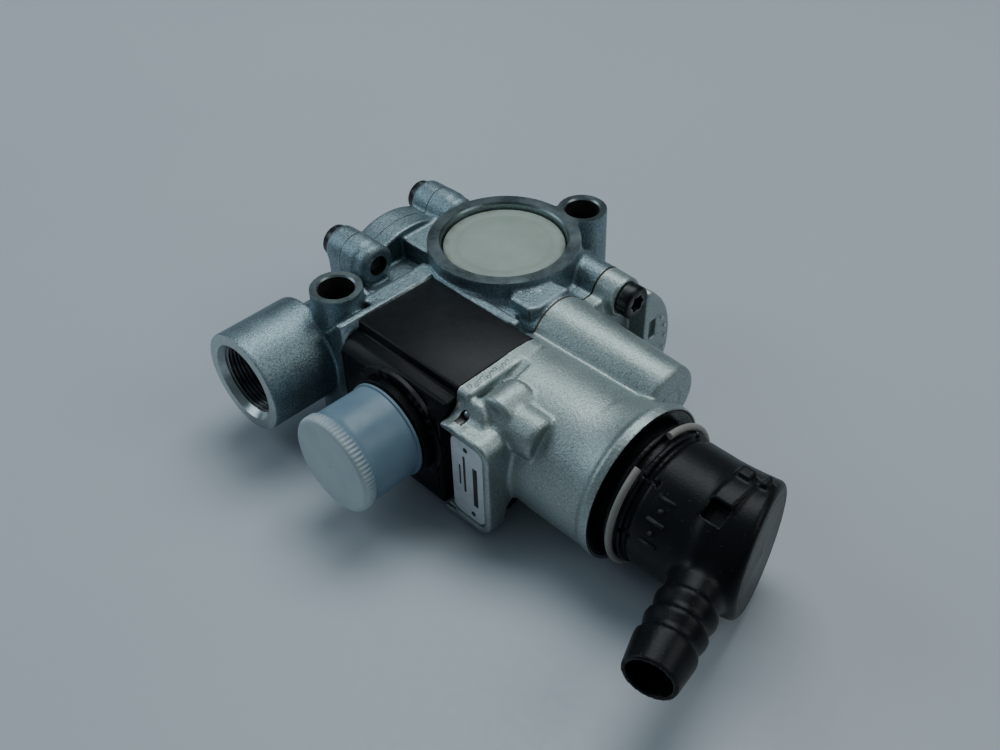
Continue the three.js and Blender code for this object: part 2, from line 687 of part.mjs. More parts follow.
// Square pocket sunk at right angles into the round body.
function elbowRecess() {
  const { x, y, length, width, depth } = elbow.recess;
  const geometry = new THREE.BoxGeometry(length, width, 2 * depth);
  geometry.translate(0, 0, elbow.bodyR);
  geometry.rotateX(Math.asin(-y / elbow.bodyR));
  geometry.translate(x, 0, exhaust.z);
  return solid(geometry);
}

function snapRing() {
  const { x, r, wireR, gapAngle, gap } = snap;
  const start = degrees(gapAngle + gap / 2);
  const end = degrees(gapAngle - gap / 2 + 360);
  return arcBar('x', [0, exhaust.z], x, r, wireR, start, end, 36);
}

// Lip seal in the mouth of the exhaust cover, sloping in towards the elbow.
function mouthSeal() {
  const { z, mouthX, boreR, sealX, sealR } = exhaust;
  const outer = sealR - GAP;
  return turned('x', [0, z], [
    [boreR, sealX], [outer, sealX], [outer, mouthX - 0.4], [outer - 0.5, mouthX - 0.2],
    [boreR, mouthX - 1.6], [boreR, sealX],
  ]);
}

function roundSeal(axis, place, innerR, outerR, [from, to]) {
  return turned(axis, place, [[innerR, from], [outerR, from], [outerR, to], [innerR, to], [innerR, from]]);
}

function elbowORing() {
  const span = [oRing.x0 + GAP, oRing.x1 - GAP];
  return roundSeal('x', [0, exhaust.z], oRing.floorR + GAP, exhaust.boreR - GAP, span);
}

// Seal on the top port's ledge, under the plug.
function topSeal() {
  const { x, y, topZ, innerR, ledgeZ, boreR } = ring;
  const underPlug = topZ - plug.top - plug.thickness;
  return roundSeal('z', [x, y], boreR + 0.5, innerR - GAP, [ledgeZ + GAP, underPlug - GAP]);
}

function filterScreen() {
  const start = supply.faceY + supply.threadLength + 2;
  const radius = supply.boreR - GAP;
  return rod('y', [supply.x, supply.z], radius, [start, start + 1], radius, SMALL_SEGMENTS);
}

// ---- cap and top plug ---------------------------------------------------------------

// Push-on plastic cap of the connector: a thin rim at its mouth and a ribbed closed end.
function protectiveCap() {
  const { mouthY, endY, mouthR, endR, wall } = cap;
  const at = [connector.x, connector.z];
  const outside = turned('y', at, [
    [0, mouthY], [mouthR + 0.5, mouthY], [mouthR + 0.5, mouthY - 0.8], [mouthR, mouthY - 0.9],
    [mouthR + 0.2, endY + 3.6], [endR, endY + 3.2], [endR, endY + 0.8], [endR - 0.8, endY], [0, endY],
  ]);
  return outside.subtract(rod('y', at, mouthR - wall, [endY + wall, mouthY + 1]));
}

function topPlug() {
  const { x, y, topZ } = ring;
  const face = topZ - plug.top;
  return turned('z', [x, y], [
    [0, face - plug.thickness], [plug.r, face - plug.thickness],
    [plug.r, face - 0.4], [plug.r - 0.5, face], [0, face],
  ]);
}

// ---- assembly -------------------------------------------------------------------------

const finishes = {
  casting: { color: 0x8f9da5, roughness: 0.5, metalness: 0.85 },
  blasted: { color: 0xaab1b1, roughness: 0.55, metalness: 0.85 },
  machined: { color: 0x9aa2a5, roughness: 0.3, metalness: 0.95 },
  black: { color: 0x15171b, roughness: 0.45, metalness: 0 },
  rubber: { color: 0x141414, roughness: 0.8, metalness: 0 },
  zinc: { color: 0x2b2c2e, roughness: 0.35, metalness: 0.9 },
  wire: { color: 0xa6a096, roughness: 0.45, metalness: 0.3 },
  milky: { color: 0xbfd3e6, roughness: 0.35, metalness: 0, transparent: true, opacity: 0.75 },
  pale: { color: 0xb9c3b6, roughness: 0.5, metalness: 0 },
  paper: { color: 0xd5dde2, roughness: 0.6, metalness: 0 },
  brass: { color: 0xb8964a, roughness: 0.3, metalness: 1 },
  copper: { color: 0x8a4b2a, roughness: 0.5, metalness: 0.8 },
  gasket: { color: 0x6e5a3c, roughness: 0.8, metalness: 0 },
};

const valve = new THREE.Group();

function place(name, piece, finish) {
  const material = new THREE.MeshStandardMaterial(finishes[finish]);
  const mesh = new THREE.Mesh(geometryOf(piece), material);
  mesh.name = name;
  valve.add(mesh);
}

place('main_housing', mainHousing(), 'casting');
place('rear_cover', rearCover(), 'casting');
place('front_cover', frontCover(), 'blasted');
place('rear_gasket', rearGasket(), 'gasket');
place('front_gasket', frontGasket(), 'gasket');
place('solenoid_housing', solenoidHousing(), 'black');
place('connector_collar', connectorCollar(), 'black');
for (let k = 0; k < 4; k += 1) {
  place(`contact_pin_${k + 1}`, contactPin(k), 'brass');
}
solenoids.forEach((at, k) => {
  place(`coil_${k + 1}`, solenoidCoil(at), 'copper');
  place(`pole_core_${k + 1}`, poleCore(at), 'machined');
  place(`armature_${k + 1}`, armature(at), 'machined');
});
place('yoke_plate', yokePlate(), 'machined');
rearScrews.forEach((at, k) => {
  const seatX = rear.x - rear.seam / 2 - rear.lug;
  place(`rear_screw_${k + 1}`, jointScrew(at, seatX, rearScrewTip, screw.rearHead), 'zinc');
});
frontScrews.forEach(([y, z, seatX], k) => {
  const tipX = k < jointScrews.length ? frontScrewTip : blockScrewTip;
  place(`front_screw_${k + 1}`, jointScrew([y, z], seatX, tipX, screw.frontHead), 'zinc');
});
place('channel_ball', channelBall(), 'machined');
place('label_plate', labelPlate(), 'paper');
place('mouth_seal', mouthSeal(), 'rubber');
place('filter_screen', filterScreen(), 'machined');
place('top_seal', topSeal(), 'rubber');
place('rear_valve_disc', valveDisc(mainRear + chamber.discFace, -1), 'rubber');
place('front_valve_disc', valveDisc(mainFront - chamber.discFace, 1), 'rubber');
place('top_plug', topPlug(), 'pale');
place('protective_cap', protectiveCap(), 'milky');
place('elbow', elbowBody(), 'black');
place('snap_ring', snapRing(), 'wire');
place('elbow_o_ring', elbowORing(), 'rubber');

const extent = new THREE.Box3().setFromObject(valve);
const middle = extent.getCenter(new THREE.Vector3());
valve.position.set(-middle.x, -middle.y, -extent.min.z);

export default valve;
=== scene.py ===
import math

import bpy
import numpy as np
import openvdb
from mathutils import Matrix, Vector


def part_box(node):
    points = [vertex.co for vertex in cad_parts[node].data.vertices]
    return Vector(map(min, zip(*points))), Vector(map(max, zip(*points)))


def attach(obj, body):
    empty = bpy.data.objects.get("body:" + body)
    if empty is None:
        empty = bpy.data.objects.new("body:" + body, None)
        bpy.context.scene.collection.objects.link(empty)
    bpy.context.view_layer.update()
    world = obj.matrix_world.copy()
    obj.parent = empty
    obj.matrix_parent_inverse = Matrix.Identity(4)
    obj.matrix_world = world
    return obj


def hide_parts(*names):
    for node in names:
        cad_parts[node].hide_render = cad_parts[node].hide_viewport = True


# A pneumatic modulator valve on a pale bench. Shapes are drawn in millimetres in the part's own
# drawing frame: x = 0 is the end of the black block, y = 0 the exhaust axis, z = 0 the bench.

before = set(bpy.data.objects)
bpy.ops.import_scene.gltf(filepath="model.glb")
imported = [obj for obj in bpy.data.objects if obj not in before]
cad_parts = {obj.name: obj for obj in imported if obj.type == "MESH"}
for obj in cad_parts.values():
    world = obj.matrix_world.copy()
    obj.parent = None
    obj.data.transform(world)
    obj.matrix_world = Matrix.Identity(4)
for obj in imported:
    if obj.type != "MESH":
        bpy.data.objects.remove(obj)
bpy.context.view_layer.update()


def centre_mm(node):
    low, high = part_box(node)
    return (low + high) * 500


FRONT_X = -4.3          # middle of the joint under the front cover
REAR_X = -70.3          # middle of the joint under the rear cover
ORIGIN = Vector((centre_mm("front_gasket").x - FRONT_X, centre_mm("mouth_seal").y, 0.0))
AXIS = (0.0, centre_mm("mouth_seal").z)
RING = tuple((centre_mm("top_plug") - ORIGIN)[:2])
SUPPLY = ((centre_mm("filter_screen") - ORIGIN).x, centre_mm("filter_screen").z)
PLUG_IN = ((centre_mm("connector_collar") - ORIGIN).x, centre_mm("connector_collar").z)
TUBES = [(-50.6, -18.8), (-27.3, 57.0)]
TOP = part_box("main_housing")[1].z * 1000
REAR_SCREWS = [(3.5, 35), (38, 35), (3.5, 9), (38, 9)]              # y, z
FRONT_SCREWS = [(42, 35, 3), (45, 9, 3), (-17, 7, 10)]              # y, z and where each head sits
REAR_SEAT = -77.35
SCREW_HOLE = 3.2
BLOCK = {"x": (-39.5, 0.2), "y": (-28, 6.7), "z": (2.2, 40)}
GAP = 0.3
BAY_BACK, WING_X = BLOCK["y"][1] + GAP, BLOCK["x"][1] + GAP
# The faces that the castings are cut to on each side of the two joints.
REAR_INNER, REAR_OUTER = REAR_X + 0.16, REAR_X - 0.16
FRONT_INNER, FRONT_OUTER = FRONT_X - 0.32, FRONT_X + 0.32
CHAMBER = (20, 17)      # y, z of the passage that joins the two valve chambers
CHAMBER_R, CHAMBER_DEPTH = 10.6, 11
RING_R, RING_POCKET_R = 22.5, 18.5
MOUTH_X = 45            # end of the exhaust barrel
BEYOND = 90             # far past any casting, for the tools that cut a whole face


def to_row(points):
    return (np.asarray(points, float) + np.array(ORIGIN)) / 1000


# ---- materials ----


class Nodes:
    """Short hand for building one material's node tree."""

    def __init__(self, name):
        self.material = bpy.data.materials.new(name)
        self.material.use_nodes = True
        self.tree = self.material.node_tree
        self.shader = self.tree.nodes["Principled BSDF"]
        self.place = self.add("ShaderNodeTexCoord").outputs["Object"]

    def put(self, socket, value):
        if isinstance(value, bpy.types.NodeSocket):
            self.tree.links.new(value, socket)
        elif isinstance(value, tuple) and len(value) == 3 and socket.type == "RGBA":
            socket.default_value = (*value, 1.0)
        else:
            socket.default_value = value

    def add(self, kind, inputs=None, **settings):
        node = self.tree.nodes.new(kind)
        for key, value in settings.items():
            setattr(node, key, value)
        for key, value in (inputs or {}).items():
            self.put(node.inputs[key], value)
        return node

    def noise(self, scale, detail=3.0, roughness=0.55, distortion=0.0, place=None):
        return self.add("ShaderNodeTexNoise", {
            "Vector": place or self.place, "Scale": scale, "Detail": detail,
            "Roughness": roughness, "Distortion": distortion}).outputs["Fac"]

    def spread(self, value, low, high, to_low=0.0, to_high=1.0):
        return self.add("ShaderNodeMapRange", {
            "Value": value, "From Min": low, "From Max": high,
            "To Min": to_low, "To Max": to_high}).outputs["Result"]

    def math(self, operation, a, b=0.0):
        return self.add("ShaderNodeMath", {0: a, 1: b}, operation=operation).outputs[0]

    def mix(self, factor, a, b, blend="MIX"):
        node = self.add("ShaderNodeMix", data_type="RGBA", blend_type=blend)
        for key, value in ((0, factor), (6, a), (7, b)):
            self.put(node.inputs[key], value)
        return node.outputs[2]

    def grey(self, value):
        return self.add("ShaderNodeCombineColor", {0: value, 1: value, 2: value}).outputs[0]

    def bump(self, height, strength, distance, after=None):
        inputs = {"Height": height, "Strength": strength, "Distance": distance}
        if after is not None:
            inputs["Normal"] = after
        return self.add("ShaderNodeBump", inputs).outputs["Normal"]

    def set(self, **values):
        for key, value in values.items():
            self.put(self.shader.inputs[key.replace("_", " ")], value)
        return self.material

    def edges(self, low=0.52, high=0.58):
        """How far a point stands on an outer edge, broken up by a coarse noise."""
        ridge = self.spread(self.add("ShaderNodeNewGeometry").outputs["Pointiness"], low, high)
        patchy = self.spread(self.noise(420, 2), 0.35, 0.6, 0.25, 1.0)
        return self.math("MULTIPLY", ridge, patchy)


def cast_metal(name, dark, light, speckle=0.2, rough=(0.38, 0.54), grain=0.35, stain=None):
    n = Nodes(name)
    cloud = n.spread(n.noise(55, 4), 0.3, 0.7)
    fine = n.noise(2600, 2, 0.7)
    flake = n.noise(1250, 2, 0.6)
    spots = n.spread(fine, 0.34, 0.66, 1.0 - speckle, 1.0 + speckle)
    colour = n.mix(1.0, n.mix(cloud, dark, light), n.grey(spots), "MULTIPLY")
    if stain:
        patches = n.spread(n.noise(95, 6, 0.65), 0.58, 0.72, 0.0, 0.55)
        colour = n.mix(patches, colour, stain)
    worn = n.edges()
    colour = n.mix(n.math("MULTIPLY", worn, 0.6), colour, (0.78, 0.80, 0.80))
    both = n.math("MULTIPLY", n.math("ADD", cloud, flake), 0.5)
    roughness = n.spread(both, 0.25, 0.75, rough[0], rough[1])
    roughness = n.math("SUBTRACT", roughness, n.math("MULTIPLY", worn, 0.12))
    normal = n.bump(fine, grain, 0.0001, n.bump(flake, grain, 0.00022))
    return n.set(Base_Color=colour, Metallic=0.92, Roughness=roughness, Normal=normal)


def machined_metal(name, colour, direction, centre, pitch=0.35, rough=(0.22, 0.4)):
    """Turned metal: fine rings about an axis through centre, over a slow change of tone."""
    n = Nodes(name)
    moved = n.add("ShaderNodeVectorMath", {0: n.place, 1: tuple(-c for c in to_row(centre))}, operation="ADD")
    rings = n.add("ShaderNodeTexWave", {
        "Vector": moved.outputs[0], "Scale": 1000 / (pitch * 20), "Distortion": 1.5, "Detail": 2.0,
        "Detail Scale": 2.0}, wave_type="RINGS", rings_direction=direction).outputs["Fac"]
    cloud = n.noise(120, 4)
    dull = tuple(c * 0.72 for c in colour)
    tone = n.mix(n.spread(cloud, 0.3, 0.7), dull, colour)
    marks = n.spread(n.noise(900, 3, 0.7), 0.3, 0.7, 0.85, 1.1)
    tone = n.mix(1.0, tone, n.grey(marks), "MULTIPLY")
    roughness = n.spread(cloud, 0.3, 0.7, rough[0], rough[1])
    normal = n.bump(n.noise(1800, 2), 0.12, 0.0001, n.bump(rings, 0.10, 0.00006))
    return n.set(Base_Color=tone, Metallic=0.96, Roughness=roughness, Normal=normal)


def black_moulding(name, tone, rough=(0.34, 0.5), grain=0.3, dust=0.5, pitch=1500, gloss=0.2):
    n = Nodes(name)
    cloud = n.noise(70, 4)
    fine = n.noise(pitch, 3, 0.6)
    lifted = tuple(c * 1.9 for c in tone)
    colour = n.mix(n.spread(cloud, 0.3, 0.75), tone, lifted)
    specks = n.spread(n.noise(1700, 1, 0.4), 0.735, 0.77, 0.0, dust)
    film = n.spread(n.noise(35, 5, 0.7), 0.52, 0.8, 0.0, 0.12 * dust)
    colour = n.mix(n.math("MAXIMUM", specks, film), colour, (0.45, 0.45, 0.44))
    worn = n.edges(0.53, 0.6)
    colour = n.mix(n.math("MULTIPLY", worn, 0.25), colour, (0.16, 0.165, 0.17))
    roughness = n.spread(n.math("MULTIPLY", n.math("ADD", cloud, fine), 0.5), 0.3, 0.7, rough[0], rough[1])
    normal = n.bump(fine, grain, 0.00012, n.bump(n.noise(260, 3), 0.08, 0.0004))
    return n.set(Base_Color=colour, Metallic=0.0, Roughness=roughness, Normal=normal,
                 Specular_IOR_Level=gloss)


def rubber(name, tone=(0.014, 0.014, 0.015)):
    n = Nodes(name)
    fine = n.noise(1400, 3)
    colour = n.mix(n.spread(n.noise(240, 4), 0.35, 0.7), tone, (0.035, 0.033, 0.032))
    roughness = n.spread(fine, 0.3, 0.7, 0.5, 0.72)
    return n.set(Base_Color=colour, Roughness=roughness, Normal=n.bump(fine, 0.25, 0.0001))


def coated_steel(name):
    n = Nodes(name)
    cloud = n.noise(300, 4)
    worn = n.edges(0.54, 0.6)
    colour = n.mix(n.spread(cloud, 0.35, 0.7), (0.016, 0.017, 0.018), (0.045, 0.047, 0.048))
    colour = n.mix(n.math("MULTIPLY", worn, 0.6), colour, (0.34, 0.35, 0.34))
    roughness = n.spread(cloud, 0.3, 0.7, 0.3, 0.46)
    normal = n.bump(n.noise(1500, 3), 0.2, 0.0001)
    return n.set(Base_Color=colour, Metallic=0.9, Roughness=roughness, Normal=normal)


def steel(name, tone=(0.5, 0.52, 0.54), rough=(0.25, 0.4)):
    n = Nodes(name)
    cloud = n.noise(350, 4)
    colour = n.mix(n.spread(cloud, 0.3, 0.7), tuple(c * 0.75 for c in tone), tone)
    roughness = n.spread(cloud, 0.3, 0.7, rough[0], rough[1])
    normal = n.bump(n.noise(2000, 2), 0.15, 0.0001)
    return n.set(Base_Color=colour, Metallic=0.95, Roughness=roughness, Normal=normal)


def plain_moulding(name, dark, light, rough=(0.4, 0.55), scale=110, grain=0.12):
    n = Nodes(name)
    cloud = n.noise(scale, 5, 0.6)
    colour = n.mix(n.spread(cloud, 0.3, 0.7), dark, light)
    worn = n.edges(0.52, 0.6)
    colour = n.mix(n.math("MULTIPLY", worn, 0.3), colour, tuple(min(1, c * 1.35) for c in light))
    roughness = n.spread(cloud, 0.3, 0.7, rough[0], rough[1])
    return n.set(Base_Color=colour, Roughness=roughness, Normal=n.bump(n.noise(1300, 3), grain, 0.0001))


def plug_face(name):
    """Pale moulded disc: a faint wide ring, a worn middle and painted brown shade near its rim."""
    n = Nodes(name)
    middle = to_row((*RING, 0))
    flat = n.add("ShaderNodeVectorMath", {0: n.place, 1: (1.0, 1.0, 0.0)}, operation="MULTIPLY").outputs[0]
    centre = (float(middle[0]), float(middle[1]), 0.0)
    reach = n.add("ShaderNodeVectorMath", {0: flat, 1: centre}, operation="DISTANCE").outputs["Value"]
    wander = n.math("MULTIPLY", n.math("SUBTRACT", n.noise(90, 3), 0.5), 0.0022)
    reach = n.math("ADD", reach, wander)
    cloud = n.spread(n.noise(75, 5, 0.6), 0.3, 0.7)
    colour = n.mix(cloud, (0.33, 0.39, 0.34), (0.42, 0.485, 0.425))
    ring = n.math("MULTIPLY", n.spread(reach, 0.0128, 0.0138), n.spread(reach, 0.0152, 0.0142))
    colour = n.mix(n.math("MULTIPLY", ring, 0.35), colour, (0.33, 0.35, 0.30))
    # Painted shade: a patchy brown darkening near the disc's rim, where it meets the pocket wall.
    rim = n.math("MULTIPLY", n.spread(reach, 0.0160, 0.0176), n.spread(n.noise(260, 4), 0.4, 0.62))
    colour = n.mix(n.math("MULTIPLY", rim, 0.6), colour, (0.20, 0.16, 0.11))
    roughness = n.spread(n.noise(200, 4), 0.3, 0.7, 0.38, 0.55)
    return n.set(Base_Color=colour, Roughness=roughness, Normal=n.bump(n.noise(900, 3), 0.1, 0.0001))


def milky_plastic(name):
    """Thin cloudy moulding: paler on its closed end, bluer where the dark connector shows through."""
    n = Nodes(name)
    cloud = n.noise(45, 3)
    near, far = (float(to_row((0, y, 0))[1]) for y in (-50.6, -47.2))
    along = n.add("ShaderNodeSeparateXYZ", {"Vector": n.place}).outputs["Y"]
    along = n.math("ADD", along, n.math("MULTIPLY", n.math("SUBTRACT", cloud, 0.5), 0.002))
    side = n.mix(n.spread(cloud, 0.3, 0.7), (0.17, 0.27, 0.36), (0.27, 0.38, 0.47))
    closed = n.mix(n.spread(n.noise(150, 4), 0.3, 0.7), (0.50, 0.60, 0.63), (0.60, 0.69, 0.71))
    colour = n.mix(n.spread(along, near, far), closed, side)
    roughness = n.spread(n.noise(300, 3), 0.3, 0.7, 0.28, 0.4)
    normal = n.bump(n.noise(140, 2), 0.06, 0.0004)
    return n.set(Base_Color=colour, Roughness=roughness, Normal=normal, IOR=1.42, Transmission_Weight=0.12)


FINISH = {
    "cast": cast_metal("cast_grey", (0.185, 0.25, 0.275), (0.29, 0.375, 0.41), 0.45, grain=0.55,
                       stain=(0.13, 0.16, 0.17)),
    "blasted": cast_metal("cast_blasted", (0.35, 0.405, 0.405), (0.43, 0.49, 0.485), 0.3, (0.42, 0.55),
                          grain=0.45),
    "pocket": cast_metal("cast_pocket", (0.24, 0.30, 0.32), (0.38, 0.45, 0.48), 0.4, (0.36, 0.5)),
    "ring_face": machined_metal("turned_ring", (0.20, 0.245, 0.255), "Z", (*RING, TOP)),
    "port_face": machined_metal("turned_port", (0.50, 0.56, 0.56), "Y", (SUPPLY[0], -48, SUPPLY[1]), 0.3,
                                (0.25, 0.42)),
    "sawn": steel("milled_face", (0.30, 0.345, 0.355), (0.3, 0.42)),
    "bore": steel("bored_hole", (0.20, 0.19, 0.18), (0.35, 0.55)),
    "thread": steel("cut_thread", (0.17, 0.18, 0.185), (0.3, 0.45)),
    "block": black_moulding("black_block", (0.0045, 0.005, 0.006), (0.32, 0.45), 0.2, 0.1, 1200),
    "elbow": black_moulding("black_elbow", (0.0045, 0.005, 0.006), (0.3, 0.42), 0.3, 0.1, 1700),
    "rubber": rubber("seal_rubber"),
    "seal": black_moulding("lip_seal", (0.005, 0.005, 0.006), (0.2, 0.32), 0.1, 0.05, 900, 0.45),
    "screw": coated_steel("dark_screw"),
    "steel": steel("bright_steel"),
    "wire": plain_moulding("ring_plastic", (0.27, 0.25, 0.225), (0.38, 0.355, 0.32), (0.35, 0.5)),
    "plug": plug_face("pale_plug"),
    "cap": milky_plastic("milky_cap"),
    "label": plain_moulding("label_sheet", (0.62, 0.66, 0.70), (0.78, 0.81, 0.84), (0.3, 0.5), 300, 0.05),
    "ink": plain_moulding("label_ink", (0.02, 0.02, 0.022), (0.05, 0.05, 0.055), (0.4, 0.6), 400, 0.05),
    "gasket": plain_moulding("gasket_sheet", (0.06, 0.045, 0.03), (0.16, 0.12, 0.075), (0.6, 0.8), 300, 0.3),
    "brass": steel("contact_brass", (0.72, 0.55, 0.26), (0.2, 0.35)),
    "copper": plain_moulding("coil_winding", (0.20, 0.07, 0.03), (0.36, 0.15, 0.07), (0.4, 0.6), 300, 0.3),
}


# ---- signed distance drawing of the castings ----


def rounded(a, b, edge):
    """Where two distances meet at a corner, the corner's edge is rounded by that radius."""
    a, b = a + edge, b + edge
    return np.minimum(np.maximum(a, b), 0) + np.hypot(np.maximum(a, 0), np.maximum(b, 0)) - edge


def melt(first, *others, fillet=2.0):
    """Union with a fillet in the inner corner."""
    for other in others:
        reach = np.maximum(4 * fillet * 0.6 - np.abs(first - other), 0) / (4 * fillet * 0.6)
        first = np.minimum(first, other) - reach * reach * fillet * 0.6
    return first


def carve(solid, tool, fillet=0.6):
    return -melt(-solid, tool, fillet=fillet)


def polygon_distance(u, v, points):
    best, inside = None, False
    for (au, av), (bu, bv) in zip(points, points[1:] + points[:1]):
        du, dv = bu - au, bv - av
        t = np.clip(((u - au) * du + (v - av) * dv) / (du * du + dv * dv), 0, 1)
        gap = (u - au - du * t) ** 2 + (v - av - dv * t) ** 2
        best = gap if best is None else np.minimum(best, gap)
        if av != bv:
            crosses = ((av > v) != (bv > v)) & (u < du * (v - av) / dv + au)
            inside = crosses if inside is False else inside ^ crosses
    return np.where(inside, np.float32(-1), np.float32(1)) * np.sqrt(best)


class Clay:
    """Sample points in a box round one casting. Each shape is its signed distance there."""

    def __init__(self, low, high, step):
        self.low, self.step = np.array(low, float), step
        counts = np.ceil((np.array(high, float) - self.low) / step).astype(int) + 1
        axes = [(self.low[k] + step * np.arange(counts[k])).astype(np.float32) for k in range(3)]
        self.at = dict(zip("xyz", np.meshgrid(*axes, indexing="ij", sparse=True)))

    def across(self, axis):
        return [self.at[other] for other in "xyz" if other != axis]

    def rod(self, axis, place, radius, span, end=None, edge=0.0):
        u, v = self.across(axis)
        along = self.at[axis]
        low, high = span
        slope = ((radius if end is None else end) - radius) / (high - low)
        side = (np.hypot(u - place[0], v - place[1]) - radius - slope * (along - low)) / math.hypot(1, slope)
        return rounded(side, np.abs(along - (low + high) / 2) - (high - low) / 2, edge)

    def box(self, x, y, z, edge=0.0):
        flat = [np.abs(self.at[a] - (s[0] + s[1]) / 2) - (s[1] - s[0]) / 2 for a, s in zip("xyz", (x, y, z))]
        return rounded(rounded(flat[0], flat[1], edge), flat[2], edge)

    def prism(self, axis, points, span, edge=0.0):
        u, v = self.across(axis)
        flat = np.abs(self.at[axis] - (span[0] + span[1]) / 2) - (span[1] - span[0]) / 2
        return rounded(polygon_distance(u, v, points), flat, edge)

    def tilted(self, origin, direction, up=(0, 0, 1)):
        """Coordinates along a direction, across it, and up, from an origin."""
        d = Vector(direction).normalized()
        w = Vector(up).normalized()
        c = w.cross(d)
        x, y, z = (self.at[a] - p for a, p in zip("xyz", origin))
        return [x * q[0] + y * q[1] + z * q[2] for q in (d, c, w)]

    def mesh(self, name, value, finish):
        grid = openvdb.FloatGrid(3.0)
        grid.copyFromArray(np.array(np.broadcast_to(value, self.shape()), dtype=np.float32, order="C"))
        points, triangles, quads = grid.convertToPolygons(isovalue=0.0, adaptivity=0.0)
        points = self.low + np.asarray(points, float) * self.step
        faces = [np.asarray(triangles)[:, ::-1], np.asarray(quads)[:, ::-1]]
        return piece(name, points, faces, finish)

    def shape(self):
        return tuple(self.at[a].size for a in "xyz")


# ---- meshes ----


def piece(name, points, face_groups, finish, smooth=True):
    """A mesh object from points in drawing millimetres and arrays of same-sized faces."""
    mesh = bpy.data.meshes.new(name)
    rows = to_row(points).astype(np.float32)
    mesh.vertices.add(len(rows))
    mesh.vertices.foreach_set("co", rows.ravel())
    groups = [np.asarray(g, np.int32) for g in face_groups if len(g)]
    corners = np.concatenate([g.ravel() for g in groups])
    sizes = np.concatenate([np.full(len(g), g.shape[1], np.int32) for g in groups])
    mesh.loops.add(len(corners))
    mesh.loops.foreach_set("vertex_index", corners)
    mesh.polygons.add(len(sizes))
    mesh.polygons.foreach_set("loop_start", np.concatenate([[0], np.cumsum(sizes)[:-1]]).astype(np.int32))
    mesh.update(calc_edges=True)
    mesh.materials.append(FINISH[finish])
    outward(mesh)
    if smooth:
        mesh.polygons.foreach_set("use_smooth", np.ones(len(sizes), bool))
    thing = bpy.data.objects.new(name, mesh)
    bpy.context.scene.collection.objects.link(thing)
    return thing


def outward(mesh):
    """Turns every face over if the closed mesh came out inside-out."""
    mesh.calc_loop_triangles()
    co = np.zeros(len(mesh.vertices) * 3)
    mesh.vertices.foreach_get("co", co)
    corners = np.zeros(len(mesh.loop_triangles) * 3, np.int32)
    mesh.loop_triangles.foreach_get("vertices", corners)
    a, b, c = co.reshape(-1, 3)[corners.reshape(-1, 3)].transpose(1, 0, 2)
    if np.einsum("ij,ij->i", a, np.cross(b, c)).sum() < 0:
        mesh.flip_normals()


def axis_points(axis, place, u, v, along):
    """Points from two coordinates across an axis and one along it."""
    u, v, along = np.broadcast_arrays(u + place[0], v + place[1], along)
    order = {"x": (along, u, v), "y": (u, along, v), "z": (u, v, along)}[axis]
    return np.stack(order, -1).reshape(-1, 3)


def grid_faces(rows, columns, wrap_rows=False):
    i = np.arange(rows if wrap_rows else rows - 1)
    j = np.arange(columns)
    a = (i[:, None] * columns + j).ravel()
    b = (i[:, None] * columns + (j + 1) % columns).ravel()
    up = ((i[:, None] + 1) % rows * columns + j).ravel()
    up_b = ((i[:, None] + 1) % rows * columns + (j + 1) % columns).ravel()
    return np.stack([a, b, up_b, up], -1)


def turned(name, axis, place, profile, finish, segments=144, close=False, wobble=None):
    """A profile of (radius, along) turned about an axis; its ends are closed by flat fans."""
    profile = np.array(profile, float)
    angle = np.linspace(0, 2 * math.pi, segments, endpoint=False)
    radius = np.repeat(profile[:, :1], segments, 1)
    if wobble is not None:
        radius = radius + wobble(angle[None, :], profile[:, 1:])
    points = axis_points(axis, place, radius * np.cos(angle), radius * np.sin(angle), profile[:, 1:])
    faces = [grid_faces(len(profile), segments, wrap_rows=close)]
    if not close:
        first, last = len(points), len(points) + 1
        tips = axis_points(axis, place, np.zeros(2), np.zeros(2), profile[[0, -1], 1])
        points = np.concatenate([points, tips])
        j = np.arange(segments)
        top = (len(profile) - 1) * segments
        faces.append(np.stack([(j + 1) % segments, j, np.full(segments, first)], -1))
        faces.append(np.stack([top + j, top + (j + 1) % segments, np.full(segments, last)], -1))
    return piece(name, points, faces, finish)


def rod_mesh(name, axis, place, radius, span, finish, end=None, segments=144, chamfer=0.0):
    end = radius if end is None else end
    profile = [(radius - chamfer, span[0]), (radius, span[0] + chamfer), (end, span[1] - chamfer),
               (end - chamfer, span[1])]
    if not chamfer:
        profile = [profile[0], profile[3]]
    return turned(name, axis, place, profile, finish, segments)


def prism_mesh(name, axis, points, span, finish):
    """A flat outline pushed along an axis."""
    u, v = np.array(points, float).T
    low = axis_points(axis, (0, 0), u, v, np.full(len(u), float(span[0])))
    high = axis_points(axis, (0, 0), u, v, np.full(len(u), float(span[1])))
    count = len(u)
    j = np.arange(count)
    sides = np.stack([j, (j + 1) % count, (j + 1) % count + count, j + count], -1)
    ends = [np.arange(count)[::-1][None, :], (np.arange(count) + count)[None, :]]
    return piece(name, np.concatenate([low, high]), [sides, *ends], finish, smooth=False)


def box_mesh(name, x, y, z, finish):
    return prism_mesh(name, "z", [(x[0], y[0]), (x[1], y[0]), (x[1], y[1]), (x[0], y[1])], z, finish)


def rounded_outline(low, high, radius, steps=8):
    """Corner points of a rectangle with rounded corners."""
    points = []
    corners = [(high[0], high[1], 0), (low[0], high[1], 90), (low[0], low[1], 180), (high[0], low[1], 270)]
    for (u, v, start) in corners:
        cu = u - radius if u == high[0] else u + radius
        cv = v - radius if v == high[1] else v + radius
        for k in range(steps + 1):
            a = math.radians(start + 90 * k / steps)
            points.append((cu + radius * math.cos(a), cv + radius * math.sin(a)))
    return points


